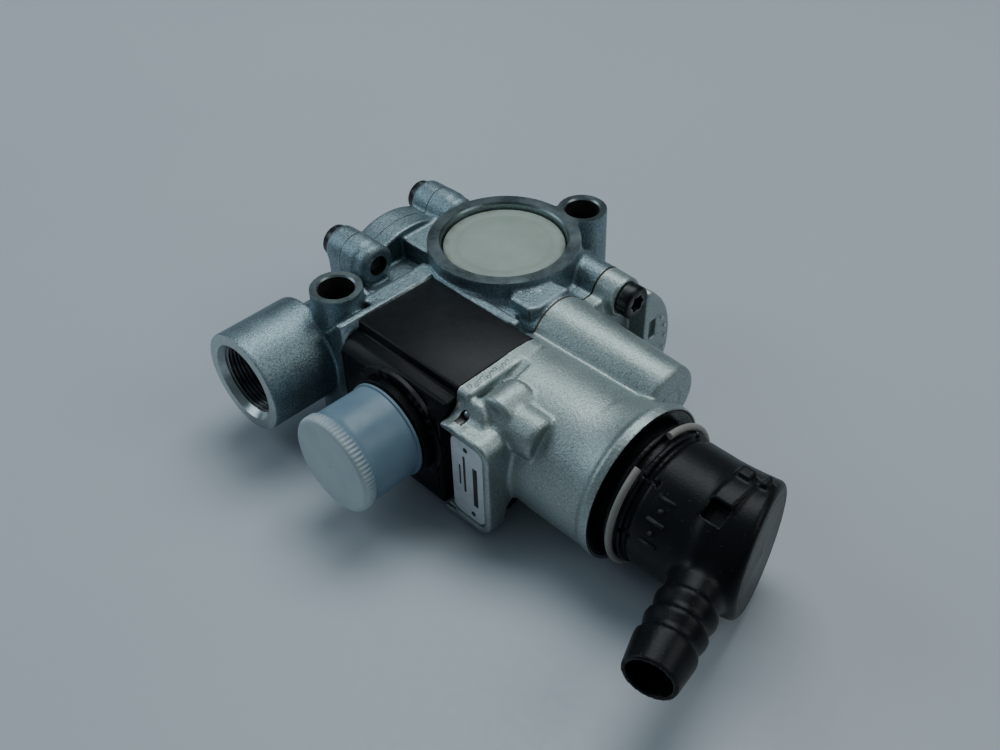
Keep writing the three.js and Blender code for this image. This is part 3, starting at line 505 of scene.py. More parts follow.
def thread_tool(name, axis, place, span, radius, pitch, depth, finish):
    """A bore with a real helical thread in its wall, fading out at both ends."""
    def cut(angle, along):
        phase = (along / pitch - angle / (2 * math.pi)) % 1.0
        fade = np.clip((along - span[0]) / pitch, 0, 1) * np.clip((span[1] - along) / pitch, 0, 1)
        return depth * np.clip(1.15 - np.abs(phase - 0.5) * 2.6, 0, 1) * fade

    rows = int((span[1] - span[0]) / pitch * 10)
    profile = [(radius, along) for along in np.linspace(span[0], span[1], rows)]
    return turned(name, axis, place, profile, finish, 120, wobble=cut)


def apply(thing):
    """Bakes a piece's modifiers into its mesh."""
    graph = bpy.context.evaluated_depsgraph_get()
    mesh = bpy.data.meshes.new_from_object(thing.evaluated_get(graph))
    old = thing.data
    thing.modifiers.clear()
    thing.data = mesh
    bpy.data.meshes.remove(old)


def combine(thing, tools, operation="DIFFERENCE"):
    """Cuts with each tool, or adds it; the new faces keep the tool's material."""
    for tool in tools:
        step = thing.modifiers.new("step", "BOOLEAN")
        step.object, step.operation, step.solver, step.material_mode = tool, operation, "MANIFOLD", "TRANSFER"
    apply(thing)
    for tool in tools:
        mesh = tool.data
        bpy.data.objects.remove(tool)
        bpy.data.meshes.remove(mesh)
    return thing


def crisp(thing, raw=None, angle=30):
    """Sharp edges where a tool's face meets anything; the raw cast skin stays smooth."""
    mesh = thing.data
    raw_slots = [i for i, m in enumerate(mesh.materials) if raw and m == FINISH[raw]]
    count = len(mesh.polygons)
    slots = np.zeros(count, np.int32)
    mesh.polygons.foreach_get("material_index", slots)
    normals = np.zeros(count * 3)
    mesh.polygons.foreach_get("normal", normals)
    normals = normals.reshape(-1, 3)
    sizes = np.zeros(count, np.int32)
    mesh.polygons.foreach_get("loop_total", sizes)
    edge_of = np.zeros(len(mesh.loops), np.int32)
    mesh.loops.foreach_get("edge_index", edge_of)
    face_of = np.repeat(np.arange(count), sizes)
    order = np.argsort(edge_of, kind="stable")
    edge_of, face_of = edge_of[order], face_of[order]
    pairs = np.flatnonzero(edge_of[1:] == edge_of[:-1])
    a, b = face_of[pairs], face_of[pairs + 1]
    bend = np.einsum("ij,ij->i", normals[a], normals[b]) < math.cos(math.radians(angle))
    skin = np.isin(slots, raw_slots)
    hard = (slots[a] != slots[b]) | (bend & ~(skin[a] & skin[b]))
    flags = np.zeros(len(mesh.edges), bool)
    flags[edge_of[pairs[hard]]] = True
    attribute = mesh.attributes.get("sharp_edge") or mesh.attributes.new("sharp_edge", "BOOLEAN", "EDGE")
    attribute.data.foreach_set("value", flags)
    mesh.polygons.foreach_set("use_smooth", np.ones(count, bool))
    mesh.update()
    return thing


def soften(thing, width, segments=3, angle=35):
    """Small rounded edges on a crisp mesh."""
    bevel = thing.modifiers.new("soft", "BEVEL")
    bevel.width, bevel.segments, bevel.limit_method = width / 1000, segments, "ANGLE"
    bevel.angle_limit = math.radians(angle)
    bevel.harden_normals = True
    apply(thing)
    thing.data.polygons.foreach_set("use_smooth", np.ones(len(thing.data.polygons), bool))
    return thing


def settle(thing, body, slot, *nodes):
    """The piece rides on a body and stands for its CAD nodes."""
    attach(thing, body)
    if nodes:
        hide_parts(*nodes)
    return thing


# ---- main casting ----



def arc(centre, radius, start, end, steps=14):
    angles = np.radians(np.linspace(start, end, steps))
    return [(centre[0] + radius * math.cos(a), centre[1] + radius * math.sin(a)) for a in angles]


def rear_outline():
    """The rear joint's outline in y and z: four lugs and an arched middle."""
    return (arc((38, 35), 6.2, 0, 108) + arc((20.6, 14.7), 23.6, 62, 118) + arc((3.5, 35), 6.2, 72, 180)
            + arc((3.5, 9), 6.2, 180, 270) + arc((38, 9), 6.2, 270, 360))


def screw_holes(screws, span):
    return [rod_mesh("screw_hole", "x", place[:2], SCREW_HOLE, span, "bore", segments=64) for place in screws]


def housing_shape(clay):
    rear, front = REAR_INNER, FRONT_INNER
    x, z = SUPPLY
    body = melt(
        clay.box((rear - 3, -46), (-12, 46), (4, 29), 0.8),
        clay.box((-46.5, front + 3), (7.3, 46), (4, 32), 0.8),
        clay.box((-56, -41), (-25, -10), (3, 33), 0.8),
        clay.box((-35, -20), (44, 57), (4, 34), 1.2),
        clay.box((-30, -24.6), (44, 57), (4, 41), 1.2), fillet=0.4)
    saddle = clay.prism("x", rear_outline(), (rear - 3, -64.8), 0.4)
    body = melt(body, clay.box((-66, -30), (17.1, 42), (20, 36), 0.3), fillet=0.3)
    body = melt(body, saddle, fillet=0.45)
    boss = melt(clay.rod("y", (x, z), 15.3, (-48.6, -24), 15.4, 1.0),
                clay.rod("y", (x, z - 1), 11.9, (-25, -4), None, 0.8), fillet=0.6)
    body = melt(body, boss, fillet=0.7)
    web = clay.prism("z", [(-40, 7.2), (-7, 7.2), (-14, 16), (-20, 24)], (4, 38.4), 0.5)
    pad = [(-17, 18), (-15.6, 14.2), (-14.2, 12.9), (-6.8, 12.9), (front - 0.8, 15.4), (front - 0.8, 27.5),
           (-12, 26.5)]
    flange = melt(clay.rod("z", RING, 20, (8, 38)),
                  clay.rod("z", RING, RING_R, (31, TOP + 0.4), None, 0.7), fillet=0.7)
    body = melt(body, melt(flange, web, fillet=0.7), fillet=0.7)
    lugs = [clay.rod("x", place, 6.3, (rear - 1, -60), 6.1, 1.8) for place in REAR_SCREWS]
    body = melt(body, *lugs, fillet=0.6)
    lobes = melt(clay.rod("x", (21.5, 30.2), 11.3, (front - 8, front + 3)),
                 clay.rod("x", (42, 35), 6.3, (front - 14, front + 3), None, 1.2),
                 clay.rod("x", (45, 9), 6.3, (front - 14, front + 3), None, 1.2),
                 clay.box((front - 8, front + 3), (30, 38), (28, 36), 0.8),
                 clay.box((front - 8, front + 3), (7.3, 50), (4, 34), 1.2), fillet=0.5)
    body = melt(body, lobes, fillet=0.7)
    body = melt(body, clay.prism("z", pad, (10, 42), 0.5), fillet=0.2)
    gusset = [(-50.6, 3), (-40.8, 3), (-40.8, 40.3), (-41.8, 40.3), (-46.8, 34.3), (-50.6, 33.3)]
    walls = melt(
        clay.box((-46, -38), (-14, 9.4), (3, 40.3), 0.3),
        clay.box((-41.8, -38), (-26.4, -11), (3, 40.3), 0.3),
        clay.box((-46, -7), (5, 9.4), (4, 40.3), 0.3),
        clay.prism("y", gusset, (-26.4, -16), 0.3), fillet=0.2)
    body = melt(body, walls, fillet=0.4)
    for place in TUBES:
        body = melt(body, clay.rod("z", place, 8.1, (-0.4, TOP + 0.4), 7.5, 0.6), fillet=0.5)
    return melt(body, clay.rod("z", (-55.6, -4), 3.1, (27, 30.6), 2.9, 0.2), fillet=0.2)


def housing_tools():
    rear, front = REAR_INNER, FRONT_INNER
    tools = [
        box_mesh("joint_front", (front, 12), (-BEYOND, BEYOND), (-9, 60), "sawn"),
        box_mesh("joint_rear", (-BEYOND, rear), (-3.6, BEYOND), (-9, 60), "sawn"),
        box_mesh("port_plane", (-80, -40), (-60, -48), (-5, 50), "port_face"),
        box_mesh("top_plane", (-BEYOND, 20), (-BEYOND, BEYOND), (TOP, 60), "ring_face"),
        box_mesh("foot_plane", (-BEYOND, 20), (-BEYOND, BEYOND), (-9, 0), "sawn"),
        box_mesh("bay", (BLOCK["x"][0] - GAP, 12), (-32, BAY_BACK), (-4, 41.3), "cast"),
        rod_mesh("port_mouth", "y", SUPPLY, 12.6, (-49, -45.4), "port_face", 10.3),
        rod_mesh("port_bore", "y", SUPPLY, 5.8, (-32, 12), "bore"),
        rod_mesh("ring_pocket", "z", RING, RING_POCKET_R, (37.7, 50), "pocket"),
        rod_mesh("ring_lip", "z", RING, RING_POCKET_R, (TOP - 0.5, TOP + 0.5), "ring_face",
                 RING_POCKET_R + 1),
        rod_mesh("ring_bore", "z", RING, 14, (30, 40), "bore"),
        rod_mesh("ring_passage", "z", RING, 9, (12, 31), "bore"),
        rod_mesh("chamber_rear", "x", CHAMBER, CHAMBER_R, (rear - 1, rear + CHAMBER_DEPTH), "bore"),
        rod_mesh("chamber_front", "x", CHAMBER, CHAMBER_R, (front - CHAMBER_DEPTH, front + 1), "bore"),
        rod_mesh("through", "x", CHAMBER, 6, (rear, front), "bore"),
        thread_tool("port_thread", "y", SUPPLY, (-48.5, -31), 10.3, 1.15, 0.65, "thread"),
        rod_mesh("punch_dot", "z", (-11.6, 18.6), 0.1, (41.75, 42.3), "cast", 0.75, 24),
    ]
    for place in TUBES:
        tools.append(rod_mesh("tube_hole", "z", place, 5.2, (-2, TOP + 2), "bore"))
        tools.append(rod_mesh("tube_lip", "z", place, 5.2, (TOP - 0.45, TOP + 0.45), "sawn", 6.1))
    return (tools + screw_holes(REAR_SCREWS, (rear - 1, -57))
            + screw_holes(FRONT_SCREWS[:2], (-15.5, front + 1)))


def main_housing():
    clay = Clay((-77, -50.5, -1.5), (-2, 68, 46.5), 0.5)
    thing = clay.mesh("housing_casting", housing_shape(clay), "cast")
    crisp(combine(thing, housing_tools()), "cast")
    settle(thing, "valve", "cast_metal", "main_housing")


def rear_cover():
    inner = REAR_OUTER
    clay = Clay((-81, -5, 0), (-69, 47, 43.5), 0.42)
    outer = REAR_X - 6.45
    plate = clay.prism("x", rear_outline(), (outer, inner + 2), 0.9)
    lugs = [clay.rod("x", place, 5.9, (REAR_SEAT, inner + 2), 6.2, 0.5) for place in REAR_SCREWS]
    dome = clay.rod("x", (20.6, 20), 13, (outer - 2.2, inner), 15, 1.2)
    body = melt(melt(plate, *lugs, fillet=0.5), dome, fillet=0.8)
    thing = clay.mesh("rear_cover_casting", body, "cast")
    tools = [
        box_mesh("joint", (inner, 9), (-BEYOND, BEYOND), (-9, 60), "sawn"),
        rod_mesh("pocket", "x", CHAMBER, 11, (inner - 4, inner + 1), "bore"),
    ] + screw_holes(REAR_SCREWS, (inner - 11, inner + 1))
    crisp(combine(thing, tools), "cast")
    settle(thing, "valve", "cast_metal", "rear_cover")


def barrel_shape(clay):
    """The front cover's slab, its ridge over the passage and the round exhaust barrel."""
    inner, mouth = FRONT_OUTER, MOUTH_X
    outline = ([(47.6, 4), (47.6, 33)] + arc((49.4, 32.6), 1.8, 170, 60, 5)
               + [(52.6, 31.9), (55.2, 29), (57.4, 25.2), (58.9, 21), (59.7, 16.6), (59.8, 12), (59.2, 8),
                  (57.6, 4)])
    slab = melt(clay.box((inner - 3, 0.3), (7.3, 50), (4, 34), 0.9),
                clay.box((inner - 3, 0.3), (28, 40), (28, 36), 0.7),
                clay.prism("x", outline, (inner - 3, 6.5), 0.7), fillet=0.4)
    slab = melt(slab, *cover_lugs(clay)[:2], fillet=0.7)
    ridge = clay.rod("x", (21.5, 30.2), 11.4, (inner - 3, 36), 9.4, 1.3)
    ridge = melt(ridge, clay.box((inner, 33), (8, 30.5), (8, 29)), fillet=0.3)
    body = melt(slab, ridge, fillet=0.6)
    barrel = melt(clay.rod("x", (-1.2, 20.4), 20, (inner - 3, mouth + 0.4)),
                  clay.rod("x", AXIS, 18.3, (33, 43), 21.4),
                  clay.rod("x", AXIS, 21.5, (42, mouth + 0.4), 21.7, 0.7), fillet=0.6)
    return melt(body, barrel, fillet=0.6)


def wing_shape(clay, body):
    """Adds the flange over the black block: its strip, sloping nose, back bulge and blind boss."""
    rim = [(7.0, 3), (7.0, 39.6), (4.5, 40.2), (-20.4, 40.2), (-21.3, 39.4), (-21.8, 36), (-24, 29),
           (-24.6, 24), (-24.6, 3)]
    body = melt(body, clay.prism("x", rim, (WING_X - 3, WING_X + 4), 0.4), fillet=0.35)
    slope = [(-18.5, 26), (-18.5, 39), (-20.8, 39), (-24.6, 32.4), (-24.6, 26)]
    nose = melt(clay.rod("y", (6, 33.2), 5.7, (-26, -12)),
                clay.box((0.8, 11.7), (-26, -12), (26, 33)), fillet=0.2)
    nose = rounded(nose, clay.prism("x", slope, (0.6, 13)), 0.7)
    bulge = clay.rod("y", (10.9, 35), 6.0, (-19, -8), None, 1.6)
    boss = clay.rod("x", (-14.4, 32.8), 6.6, (8, 24.6), 6.1, 1.3)
    step = [(-19, 33.5), (-1.5, 40.3), (-1.5, 44), (-19, 44)]
    body = carve(body, clay.prism("x", step, (4.7, 7.4), 0.3), 0.2)
    body = melt(body, nose, fillet=0.3)
    return melt(body, melt(bulge, boss, fillet=0.4), fillet=0.4)


def label_panel_shape(clay, body):
    """Adds the upright panel that holds the label, with its window, top tab and bottom lips."""
    panel = melt(clay.prism("y", rounded_outline((3.8, 1.6), (18.2, 34.4), 5.0), (-28.5, -16), 0.8),
                 cover_lugs(clay)[2], fillet=0.6)
    tab = [(0.7, 31.6), (5, 31.6), (9, 33), (9, 34.3), (4, 34.3), (0.7, 33.2)]
    tabs = melt(clay.prism("y", tab, (-28.2, -20), 0.3),
                clay.box((0.7, 9), (-28.4, -24), (1.5, 2.9), 0.3),
                clay.box((1.4, 9), (-28.0, -24), (3.6, 4.5), 0.3), fillet=0.2)
    body = melt(body, melt(panel, tabs, fillet=0.2), fillet=0.6)
    window = clay.prism("y", rounded_outline((-4, 4.2), (16, 32), 2.4), (-34, -27.1), 0.2)
    return carve(body, window, 0.2)


def cover_lugs(clay):
    return [clay.rod("x", (y, w), 6.3, (FRONT_OUTER - 3, end + 0.3), 6.0, 0.7)
            for (y, w, end) in FRONT_SCREWS]


def cover_tools():
    inner, mouth = FRONT_OUTER, MOUTH_X
    return [
        box_mesh("joint", (-9, inner), (-BEYOND, BEYOND), (-9, 60), "sawn"),
        box_mesh("bay", (-9, WING_X), (-BEYOND, BAY_BACK), (-9, 60), "sawn"),
        box_mesh("mouth_plane", (mouth, 60), (-BEYOND, BEYOND), (-9, 60), "sawn"),
        box_mesh("foot_plane", (-9, 60), (-BEYOND, BEYOND), (-9, 0), "sawn"),
        rod_mesh("mouth_bore", "x", AXIS, 17.4, (33, mouth + 1), "bore"),
        rod_mesh("seal_seat", "x", AXIS, 21.1, (41.7, mouth + 1), "sawn"),
        rod_mesh("mouth_lip", "x", AXIS, 21.0, (mouth - 0.3, mouth + 0.3), "sawn", 21.5),
        rod_mesh("inner_bore", "x", AXIS, 14.6, (WING_X + 6, 35), "bore"),
        rod_mesh("passage", "x", CHAMBER, 11, (inner - 1, inner + 8), "bore"),
        rod_mesh("ball_hole", "y", (5, 34.8), 1.5, (-26, -14), "bore", segments=48),
    ] + screw_holes(FRONT_SCREWS, (inner - 1, 14))


def front_cover():
    clay = Clay((-5.5, -30.5, -1.5), (47, 61.5, 45.5), 0.48)
    body = label_panel_shape(clay, wing_shape(clay, barrel_shape(clay)))
    body = carve(body, clay.box((4.1, 9), (50, 53), (16.5, 23), 0.2), 0.2)
    for (y, w, end) in FRONT_SCREWS:
        body = carve(body, clay.rod("x", (y, w), 5.4, (end, end + 12)), 0.15)
    eject = np.abs(np.hypot(*(a - p for a, p in zip(clay.across("x"), (20.6, 29)))) - 4.2) - 0.25
    body = carve(body, rounded(eject, np.abs(clay.at["x"] - 36.2) - 0.6, 0.0), 0.1)
    thing = clay.mesh("cover_casting", body, "blasted")
    combine(thing, raised_marks(), "UNION")
    crisp(combine(thing, cover_tools()), "blasted")
    settle(thing, "valve", "blasted_cover", "front_cover")


def raised_marks():
    """Plain raised bars and dots on the flange strip and the back boss."""
    marks = []
    for k in range(13):
        y = -18.6 + 1.5 * k
        x = (2.1, 3.1, 2.6)[k % 3]
        marks.append(rod_mesh("dot", "z", (x, y), 0.8, (39.9, 40.42), "blasted", 0.45, 24))
    for k in range(5):
        angle = math.radians(38 - 19 * k)
        y, w = 46.5 + 11.2 * math.cos(angle), 14 + 13 * math.sin(angle)
        marks.append(rod_mesh("stud", "x", (y, w), 0.9, (6.0, 6.85), "blasted", 0.7, 24))
    return marks


# ---- small fittings ----


def star(name, axis, place, span, outer, inner_r, lobes, material):
    angle = np.linspace(0, 2 * math.pi, lobes * 8, endpoint=False)
    radius = (outer + inner_r) / 2 + (outer - inner_r) / 2 * np.cos(angle * lobes)
    points = list(zip(place[0] + radius * np.cos(angle), place[1] + radius * np.sin(angle)))
    return prism_mesh(name, axis, points, span, material)


def joint_screw(name, place, head_x, tip_x, head_length):
    out = math.copysign(1, head_x - tip_x)
    face = head_x + out * head_length
    profile = [(2.3, tip_x), (2.9, tip_x + out), (2.9, head_x + out * 0.3), (4.85, head_x + out * 0.3),
               (5.0, head_x + out * 0.45), (5.0, face - out * 0.75), (4.9, face - out * 0.5),
               (4.45, face - out * 0.08), (4.3, face), (3.0, face)]
    thing = turned(name, "x", place, profile, "screw", 96)
    depth = sorted((face - out * 2.6, face + out))
    # The socket's cut walls take the matte black rubber finish: painted shade in the recess.
    socket = star("socket", "x", place, depth, 2.75, 2.15, 6, "rubber")
    crisp(combine(thing, [socket]), angle=28)
    return thing


def screws():
    for k, place in enumerate(REAR_SCREWS):
        node = f"rear_screw_{k + 1}"
        thing = joint_screw(node + "_head", place, REAR_SEAT, -61.5, 3.3)
        settle(thing, "valve", "screw_zinc_black", node)
    for k, (y, w, end) in enumerate(FRONT_SCREWS):
        node = f"front_screw_{k + 1}"
        thing = joint_screw(node + "_head", (y, w), end, -14.5 if k < 2 else -3.5, 4.2)
        settle(thing, "valve", "screw_zinc_black", node)


def fittings():
    low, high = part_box("top_plug")
    radius, top, bottom = (high.x - low.x) * 500, high.z * 1000, low.z * 1000
    plug = turned("port_plug", "z", RING, [
        (radius - 0.3, bottom), (radius, bottom + 0.3), (radius, top - 0.5), (radius - 0.15, top - 0.2),
        (radius - 0.55, top - 0.04), (14.6, top), (14.3, top - 0.08), (13.6, top - 0.08), (13.2, top),
        (4, top)],
        "plug", 180)
    settle(plug, "top_plug", "pale_plug", "top_plug")
    seal = turned("mouth_lip_seal", "x", AXIS, [
        (17.4, 42), (21, 42), (21, 44.5), (20.85, 44.75), (20.5, 44.8), (20.0, 44.6), (18.4, 43.9),
        (17.55, 43.35), (17.4, 43.1)], "seal", 144, close=True)
    crisp(seal, angle=40)
    settle(seal, "valve", "black_rubber", "mouth_seal")
    x, z = PLUG_IN
    start = BLOCK["y"][0] - 1
    rows = [(11.3, start - 2.6), (13.2, start - 2.6)]
    for k in range(7):
        s = start - 2.3 + k * 0.32
        rows += [(14.05, s), (14.55, s + 0.1), (14.55, s + 0.18), (14.05, s + 0.28)]
    rows += [(14.5, start - 0.04), (14.3, start), (11.3, start)]
    collar = turned("collar_ring", "y", (x, z), rows, "block", 160, close=True)
    crisp(collar, angle=40)
    settle(collar, "valve", "black_plastic", "connector_collar")


# ---- solenoid block ----


def solenoid_block():
    (x0, x1), (y0, y1), (z0, z1) = BLOCK.values()
    outline = [(y1, z0), (y1, z1), (-20.7, z1), (-21.1, 37.4), (-24.9, 37.0), (y0, 33.4), (y0, z0)]
    thing = soften(prism_mesh("block_moulding", "x", outline, (x0, x1), "block"), 0.7, 4, 20)
    place = PLUG_IN
    adds = [
        rod_mesh("face_disc", "y", place, 17, (y0 - 0.6, y0 + 1), "block", chamfer=0.25),
        turned("nose", "y", place, [(9.9, y0 - 8), (10.6, y0 - 8), (11, y0 - 7.5), (11, y0 + 0.5)], "block"),
    ]
    combine(thing, adds, "UNION")
    cuts = [rod_mesh("socket", "y", place, 9.2, (y0 - 9, y0 - 1), "block")]
    cuts += [rod_mesh("coil_bay", "y", (x, 16), 8.5, (-18.3, y1 + 1), "block") for x in (-29, -11)]
    cuts += [box_mesh("yoke_bay", (-37.9, -2.1), (y1 - 2.3, y1 + 1), (7.1, 24.9), "block"),
             rod_mesh("screw_hole", "x", FRONT_SCREWS[2][:2], SCREW_HOLE, (-4, 2), "block", segments=48)]
    groove = 0.16
    for along in (-38.2, -1.4):
        cuts.append(box_mesh("mould_line", (along - groove, along + groove), (y0 - 2, -24.6), (2, 33.2),
                             "block"))
    crisp(combine(thing, cuts), angle=28)
    settle(thing, "valve", "black_plastic", "solenoid_housing")


# ---- exhaust elbow ----

BEND = 70.3
YAW = math.radians(15)


def barb_radius(s):
    """Radius of the hose barb at each distance from the bend."""
    radius = np.interp(s, [0, 18, 22.2, 40.5, 44.6], [8.0, 7.15, 6.95, 6.9, 6.65])
    for k in range(3):
        top = 23.6 + 5.9 * k
        end = 44.6 if k == 2 else top + 4.8
        ramp = [top - 0.7, top, top + 1.2, end]
        radius = np.maximum(radius, np.interp(s, ramp, [6.4, 7.75, 7.75, 6.75 if k == 2 else 6.7]))
    return radius


def elbow():
    z = AXIS[1]
    clay = Clay((35.5, -46, -0.5), (90, 20.5, 45), 0.45)
    neck = clay.rod("x", AXIS, 17.0, (37, 56), None, 0.4)
    ring_a = clay.rod("x", AXIS, 18.6, (47.2, 48.8), None, 0.2)
    ring_b = clay.rod("x", AXIS, 18.4, (51.2, 52.4), None, 0.2)
    barrel = clay.rod("x", AXIS, 17.8, (53.9, 73), None, 0.8)
    body = melt(neck, ring_a, ring_b, fillet=0.25)
    body = melt(body, barrel, fillet=0.4)
    band = rounded(clay.rod("x", AXIS, 18.5, (68.4, 73.6), None, 0.2),
                   clay.box((60, 80), (-5.3, 6), (30, 50)), 0.2)
    body = melt(body, band, fillet=0.25)
    end_dir = (math.cos(YAW), math.sin(YAW), 0)
    along, side, high = clay.tilted((BEND, 0, z), end_dir)
    reach = np.hypot(side, high)
    end = rounded(reach - 17.7, np.abs(along - 2.6) - 6.6, 1.9)
    body = melt(body, end, fillet=0.6)
    rim = rounded(np.abs(reach - 14.6) - 0.2, np.abs(along - 9.4) - 0.3, 0)
    body = carve(body, rim, 0.15)
    mark = rounded(np.abs(side + 1.5) - 0.9, np.abs(high - 1.0) - 0.35, 0.1)
    body = carve(body, rounded(mark, np.abs(along - 9.4) - 0.45, 0), 0.15)
    out = (math.sin(YAW), -math.cos(YAW), 0)
    s, across, high = clay.tilted((BEND, 0, z), out)
    r = np.hypot(across, high)
    barb = rounded(r - barb_radius(s), np.abs(s - 22.3) - 22.3, 0.3)
    body = melt(body, barb, fillet=1.0)
    for (x0, x1, at, top) in ((66.4, 73.2, 4.8, 41), (72.4, 76.8, 6.2, 40.6)):
        foot = z + 12
        lug = clay.prism("y", [(x0 - 1, foot), (x0 + 2, top), (x1 - 1.4, top), (x1 + 0.6, foot)],
                         (at - 1.6, at + 1.8), 0.3)
        body = melt(body, lug, fillet=0.35)
    tilt = math.asin(7.6 / 17.8)
    normal = (0, -math.sin(tilt), math.cos(tilt))
    a, b, c = clay.tilted((71, -7.6, z + 17.8 * math.cos(tilt)), (1, 0, 0), normal)
    pocket = rounded(rounded(np.abs(a) - 2.6, np.abs(b) - 2.6, 0), np.abs(c) - 2.6, 0)
    body = carve(body, pocket, 0.12)
    slots = [(121.5, 52.6, 6.6, 0.5), (121.5, 55.8, 0.5, 1.7), (170, 53.2, 3.2, 1.1), (55, 53.2, 3.2, 1.1)]
    for (angle, at, length, width) in slots:
        direction = (0, math.cos(math.radians(angle)), math.sin(math.radians(angle)))
        a, b, c = clay.tilted((at, 17.8 * direction[1], z + 17.8 * direction[2]), (1, 0, 0), direction)
        slot = rounded(rounded(np.abs(a) - length / 2, np.abs(b) - width / 2, 0), np.abs(c) - 1.0, 0)
        body = carve(body, slot, 0.12)
    hollow = clay.rod("x", AXIS, 12.6, (30, BEND))
    hollow = np.minimum(hollow, rounded(reach - 12.6, np.abs(along - 1.6) - 4.4, 0))
    hollow = np.minimum(hollow, rounded(r - 5.6, np.abs(s - 30) - 30, 0))
    body = np.maximum(body, -hollow)
    groove = rounded(np.abs(np.hypot(*(q - p for q, p in zip(clay.across("x"), AXIS))) - 18) - 2.6,
                     np.abs(clay.at["x"] - 39.4) - 1.2, 0)
    body = np.maximum(body, -groove)
    thing = clay.mesh("elbow_moulding", body, "elbow")
    combine(thing, barrel_marks(), "UNION")
    settle(thing, "elbow", "black_plastic", "elbow")


def barrel_marks():
    """A row of plain low bars and dots, raised on the round body."""
    z = AXIS[1]
    marks = []
    for k in range(5):
        angle = math.radians(128 + 9.5 * k)
        place = (18.0 * math.cos(angle), z + 18.0 * math.sin(angle))
        if k % 2:
            marks.append(rod_mesh("dot", "x", place, 0.55, (59.5, 60.6), "elbow", segments=24))
        else:
            marks.append(rod_mesh("bar", "x", place, 0.4, (57.6, 62.4), "elbow", segments=24))
    return marks


def snap_ring():
    steps, around = 150, 20
    start, end = math.radians(102.5 + 17.8), math.radians(102.5 - 17.8 + 360)
    a = np.linspace(start, end, steps)[:, None]
    b = np.linspace(0, 2 * math.pi, around, endpoint=False)[None, :]
    radius = 19.2 + 0.95 * np.cos(b)
    points = axis_points("x", AXIS, radius * np.cos(a), radius * np.sin(a), 50 + 0.95 * np.sin(b) + 0 * a)
    last = (steps - 1) * around
    caps = [np.arange(around)[::-1][None, :], (last + np.arange(around))[None, :]]
    thing = piece("retaining_ring", points, [grid_faces(steps, around), *caps], "wire")
    crisp(thing, angle=40)
    settle(thing, "elbow", "ring_plastic", "snap_ring")


# ---- cap and label ----


def cap():
    mouth, end, r = -32, -51.3, 13.5

    def ribs(angle, along):
        band = np.clip((end + 3.6 - along) / 0.3, 0, 1) * np.clip((along - end - 0.6) / 0.4, 0, 1)
        return 0.16 * band * np.cos(angle * 72)

    profile = [(12.3, mouth), (13.9, mouth), (14.0, mouth - 0.1), (14.0, mouth - 0.7), (13.85, mouth - 0.8),
               (r, mouth - 0.9)]
    profile += [(r + 0.2 * k / 8, mouth - 0.9 + (end + 3.9 - mouth + 0.9) * k / 8) for k in range(1, 9)]
    profile += [(14.1, end + 3.5), (14.14, end + 3.2), (14.14, end + 2.2), (14.14, end + 1.2),
                (14.1, end + 0.7), (13.8, end + 0.25), (13.3, end), (12.6, end), (6, end + 0.05),
                (0.2, end + 0.05)]
    profile += [(0.2, end + 1.2), (11.5, end + 1.2), (12.1, end + 1.7), (12.3, end + 2.4), (12.3, -42)]
    thing = turned("cap_moulding", "y", PLUG_IN, profile, "cap", 432, close=True, wobble=ribs)
    crisp(thing, angle=50)
    settle(thing, "protective_cap", "milky_plastic", "protective_cap")


def label():
    outline = rounded_outline((4.2, 4.5), (15.7, 31.7), 2.4)
    sheet = soften(prism_mesh("label_sheet_piece", "y", outline, (-27.9, -27.4), "label"), 0.1, 2)
    settle(sheet, "valve", "label_sheet", "label_plate")
    marks = []
    ink = (-27.98, -27.85)
    for at in ((9.6, 29.2), (11.6, 6.8)):
        marks.append(rod_mesh("dot", "y", at, 0.75, ink, "ink", segments=32))
    for (x, z0, z1, width) in ((12.8, 10.5, 24.5, 1.5), (8.9, 13.5, 26.5, 0.7), (7.2, 15.5, 22.5, 0.5)):
        marks.append(box_mesh("bar", (x - width / 2, x + width / 2), ink, (z0, z1), "ink"))
    for k, mark in enumerate(marks):
        mark.name = f"label_mark_{k + 1}"
        settle(mark, "valve", "label_sheet")


# ---- nodes that keep their CAD shape ----


def carried_over():
    finish = {"gasket": "gasket", "contact_pin": "brass", "coil": "copper", "pole_core": "steel",
              "armature": "steel", "yoke_plate": "steel", "channel_ball": "steel", "filter_screen": "bore",
              "top_seal": "rubber", "valve_disc": "rubber", "o_ring": "rubber"}
    for name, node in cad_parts.items():
        for key, value in finish.items():
            if key in name:
                node.data.materials.clear()
                node.data.materials.append(FINISH[value])


# ---- bench, light and camera ----


def bench():
    n = Nodes("bench_top")
    cloud = n.noise(3, 4)
    colour = n.mix(n.spread(cloud, 0.3, 0.7), (0.54, 0.575, 0.62), (0.58, 0.615, 0.66))
    n.set(Base_Color=colour, Roughness=n.spread(n.noise(400, 3), 0.3, 0.7, 0.45, 0.55),
          Normal=n.bump(n.noise(900, 3), 0.03, 0.0002))
    mesh = bpy.data.meshes.new("bench")
    size = 3.0
    corners = [(-size, -size, 0), (size, -size, 0), (size, size, 0), (-size, size, 0)]
    mesh.from_pydata(corners, [], [(0, 1, 2, 3)])
    mesh.materials.append(n.material)
    floor = bpy.data.objects.new("bench", mesh)
    bpy.context.scene.collection.objects.link(floor)


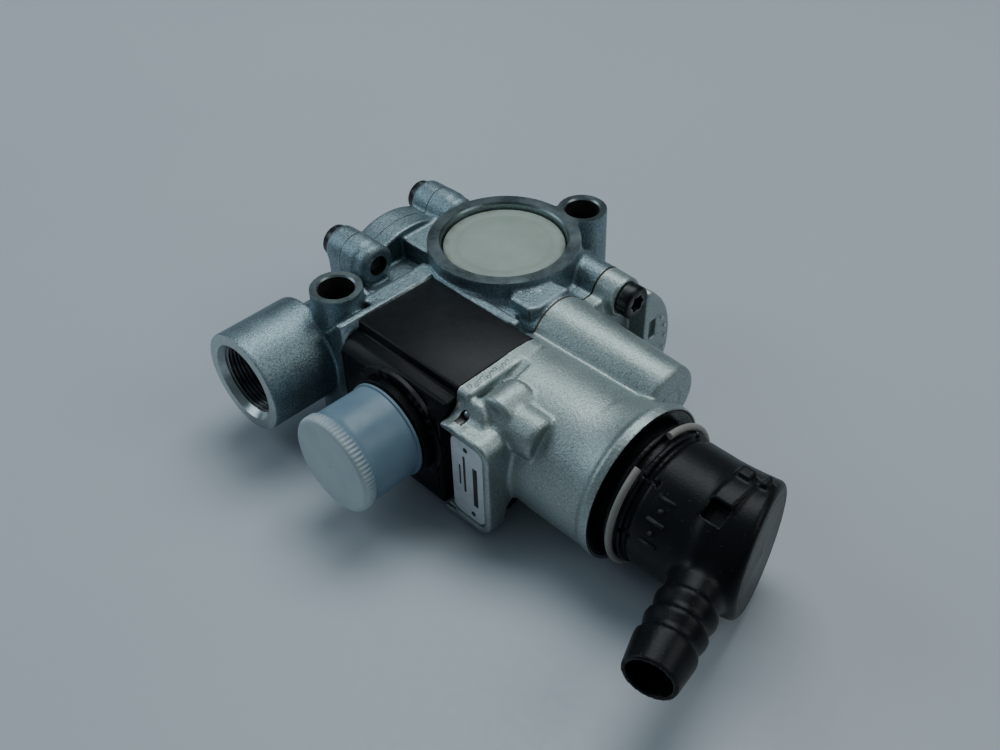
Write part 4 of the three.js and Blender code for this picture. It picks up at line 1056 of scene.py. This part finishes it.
def lamp(name, place, target, size, power, colour=(1, 1, 1)):
    data = bpy.data.lights.new(name, "AREA")
    data.shape, data.size, data.size_y = "RECTANGLE", size[0], size[1]
    data.energy, data.color = power, colour
    thing = bpy.data.objects.new(name, data)
    thing.location = place
    thing.rotation_euler = (Vector(target) - Vector(place)).to_track_quat("-Z", "Y").to_euler()
    bpy.context.scene.collection.objects.link(thing)


def lights():
    world = bpy.data.worlds.new("room")
    bpy.context.scene.world = world
    world.use_nodes = True
    world.node_tree.nodes["Background"].inputs["Color"].default_value = (0.56, 0.70, 0.80, 1)
    world.node_tree.nodes["Background"].inputs["Strength"].default_value = 0.17
    lamp("ceiling", (-0.25, 0.35, 0.95), (0, 0, 0.02), (0.8, 0.5), 5.0, (0.88, 0.98, 1.0))
    lamp("window", (-0.75, -0.45, 0.55), (0, 0, 0.02), (0.5, 0.5), 1.8, (0.72, 0.90, 1.0))
    lamp("fill", (0.55, 0.35, 0.6), (0, 0, 0.02), (0.4, 0.4), 0.9, (0.95, 1.0, 0.96))


# The camera looks at a point near the front cover; angles in degrees.
VIEW = {"target": (-11.67, 5.64, 20), "distance": 312.79, "azimuth": -44.034, "elevation": 41.6555,
        "roll": -1.5677}


def camera():
    """Stands at an azimuth and elevation from a point on the valve, rolled a little about its own axis."""
    azimuth, elevation = math.radians(VIEW["azimuth"]), math.radians(VIEW["elevation"])
    away = Vector((math.cos(elevation) * math.cos(azimuth), math.cos(elevation) * math.sin(azimuth),
                   math.sin(elevation)))
    eye = Vector(VIEW["target"]) + away * VIEW["distance"]
    data = bpy.data.cameras.new("camera")
    data.sensor_width, data.lens = 36.0, 39.767
    data.dof.use_dof = False
    data.clip_start = 0.01
    thing = bpy.data.objects.new("camera", data)
    roll = Matrix.Rotation(math.radians(VIEW["roll"]), 4, "Z")
    turn = away.to_track_quat("Z", "Y").to_matrix().to_4x4() @ roll
    thing.matrix_world = Matrix.Translation(Vector(to_row(eye))) @ turn
    bpy.context.scene.collection.objects.link(thing)
    bpy.context.scene.camera = thing


main_housing()
rear_cover()
front_cover()
screws()
fittings()
solenoid_block()
elbow()
snap_ring()
cap()
label()
carried_over()
bench()
lights()
camera()
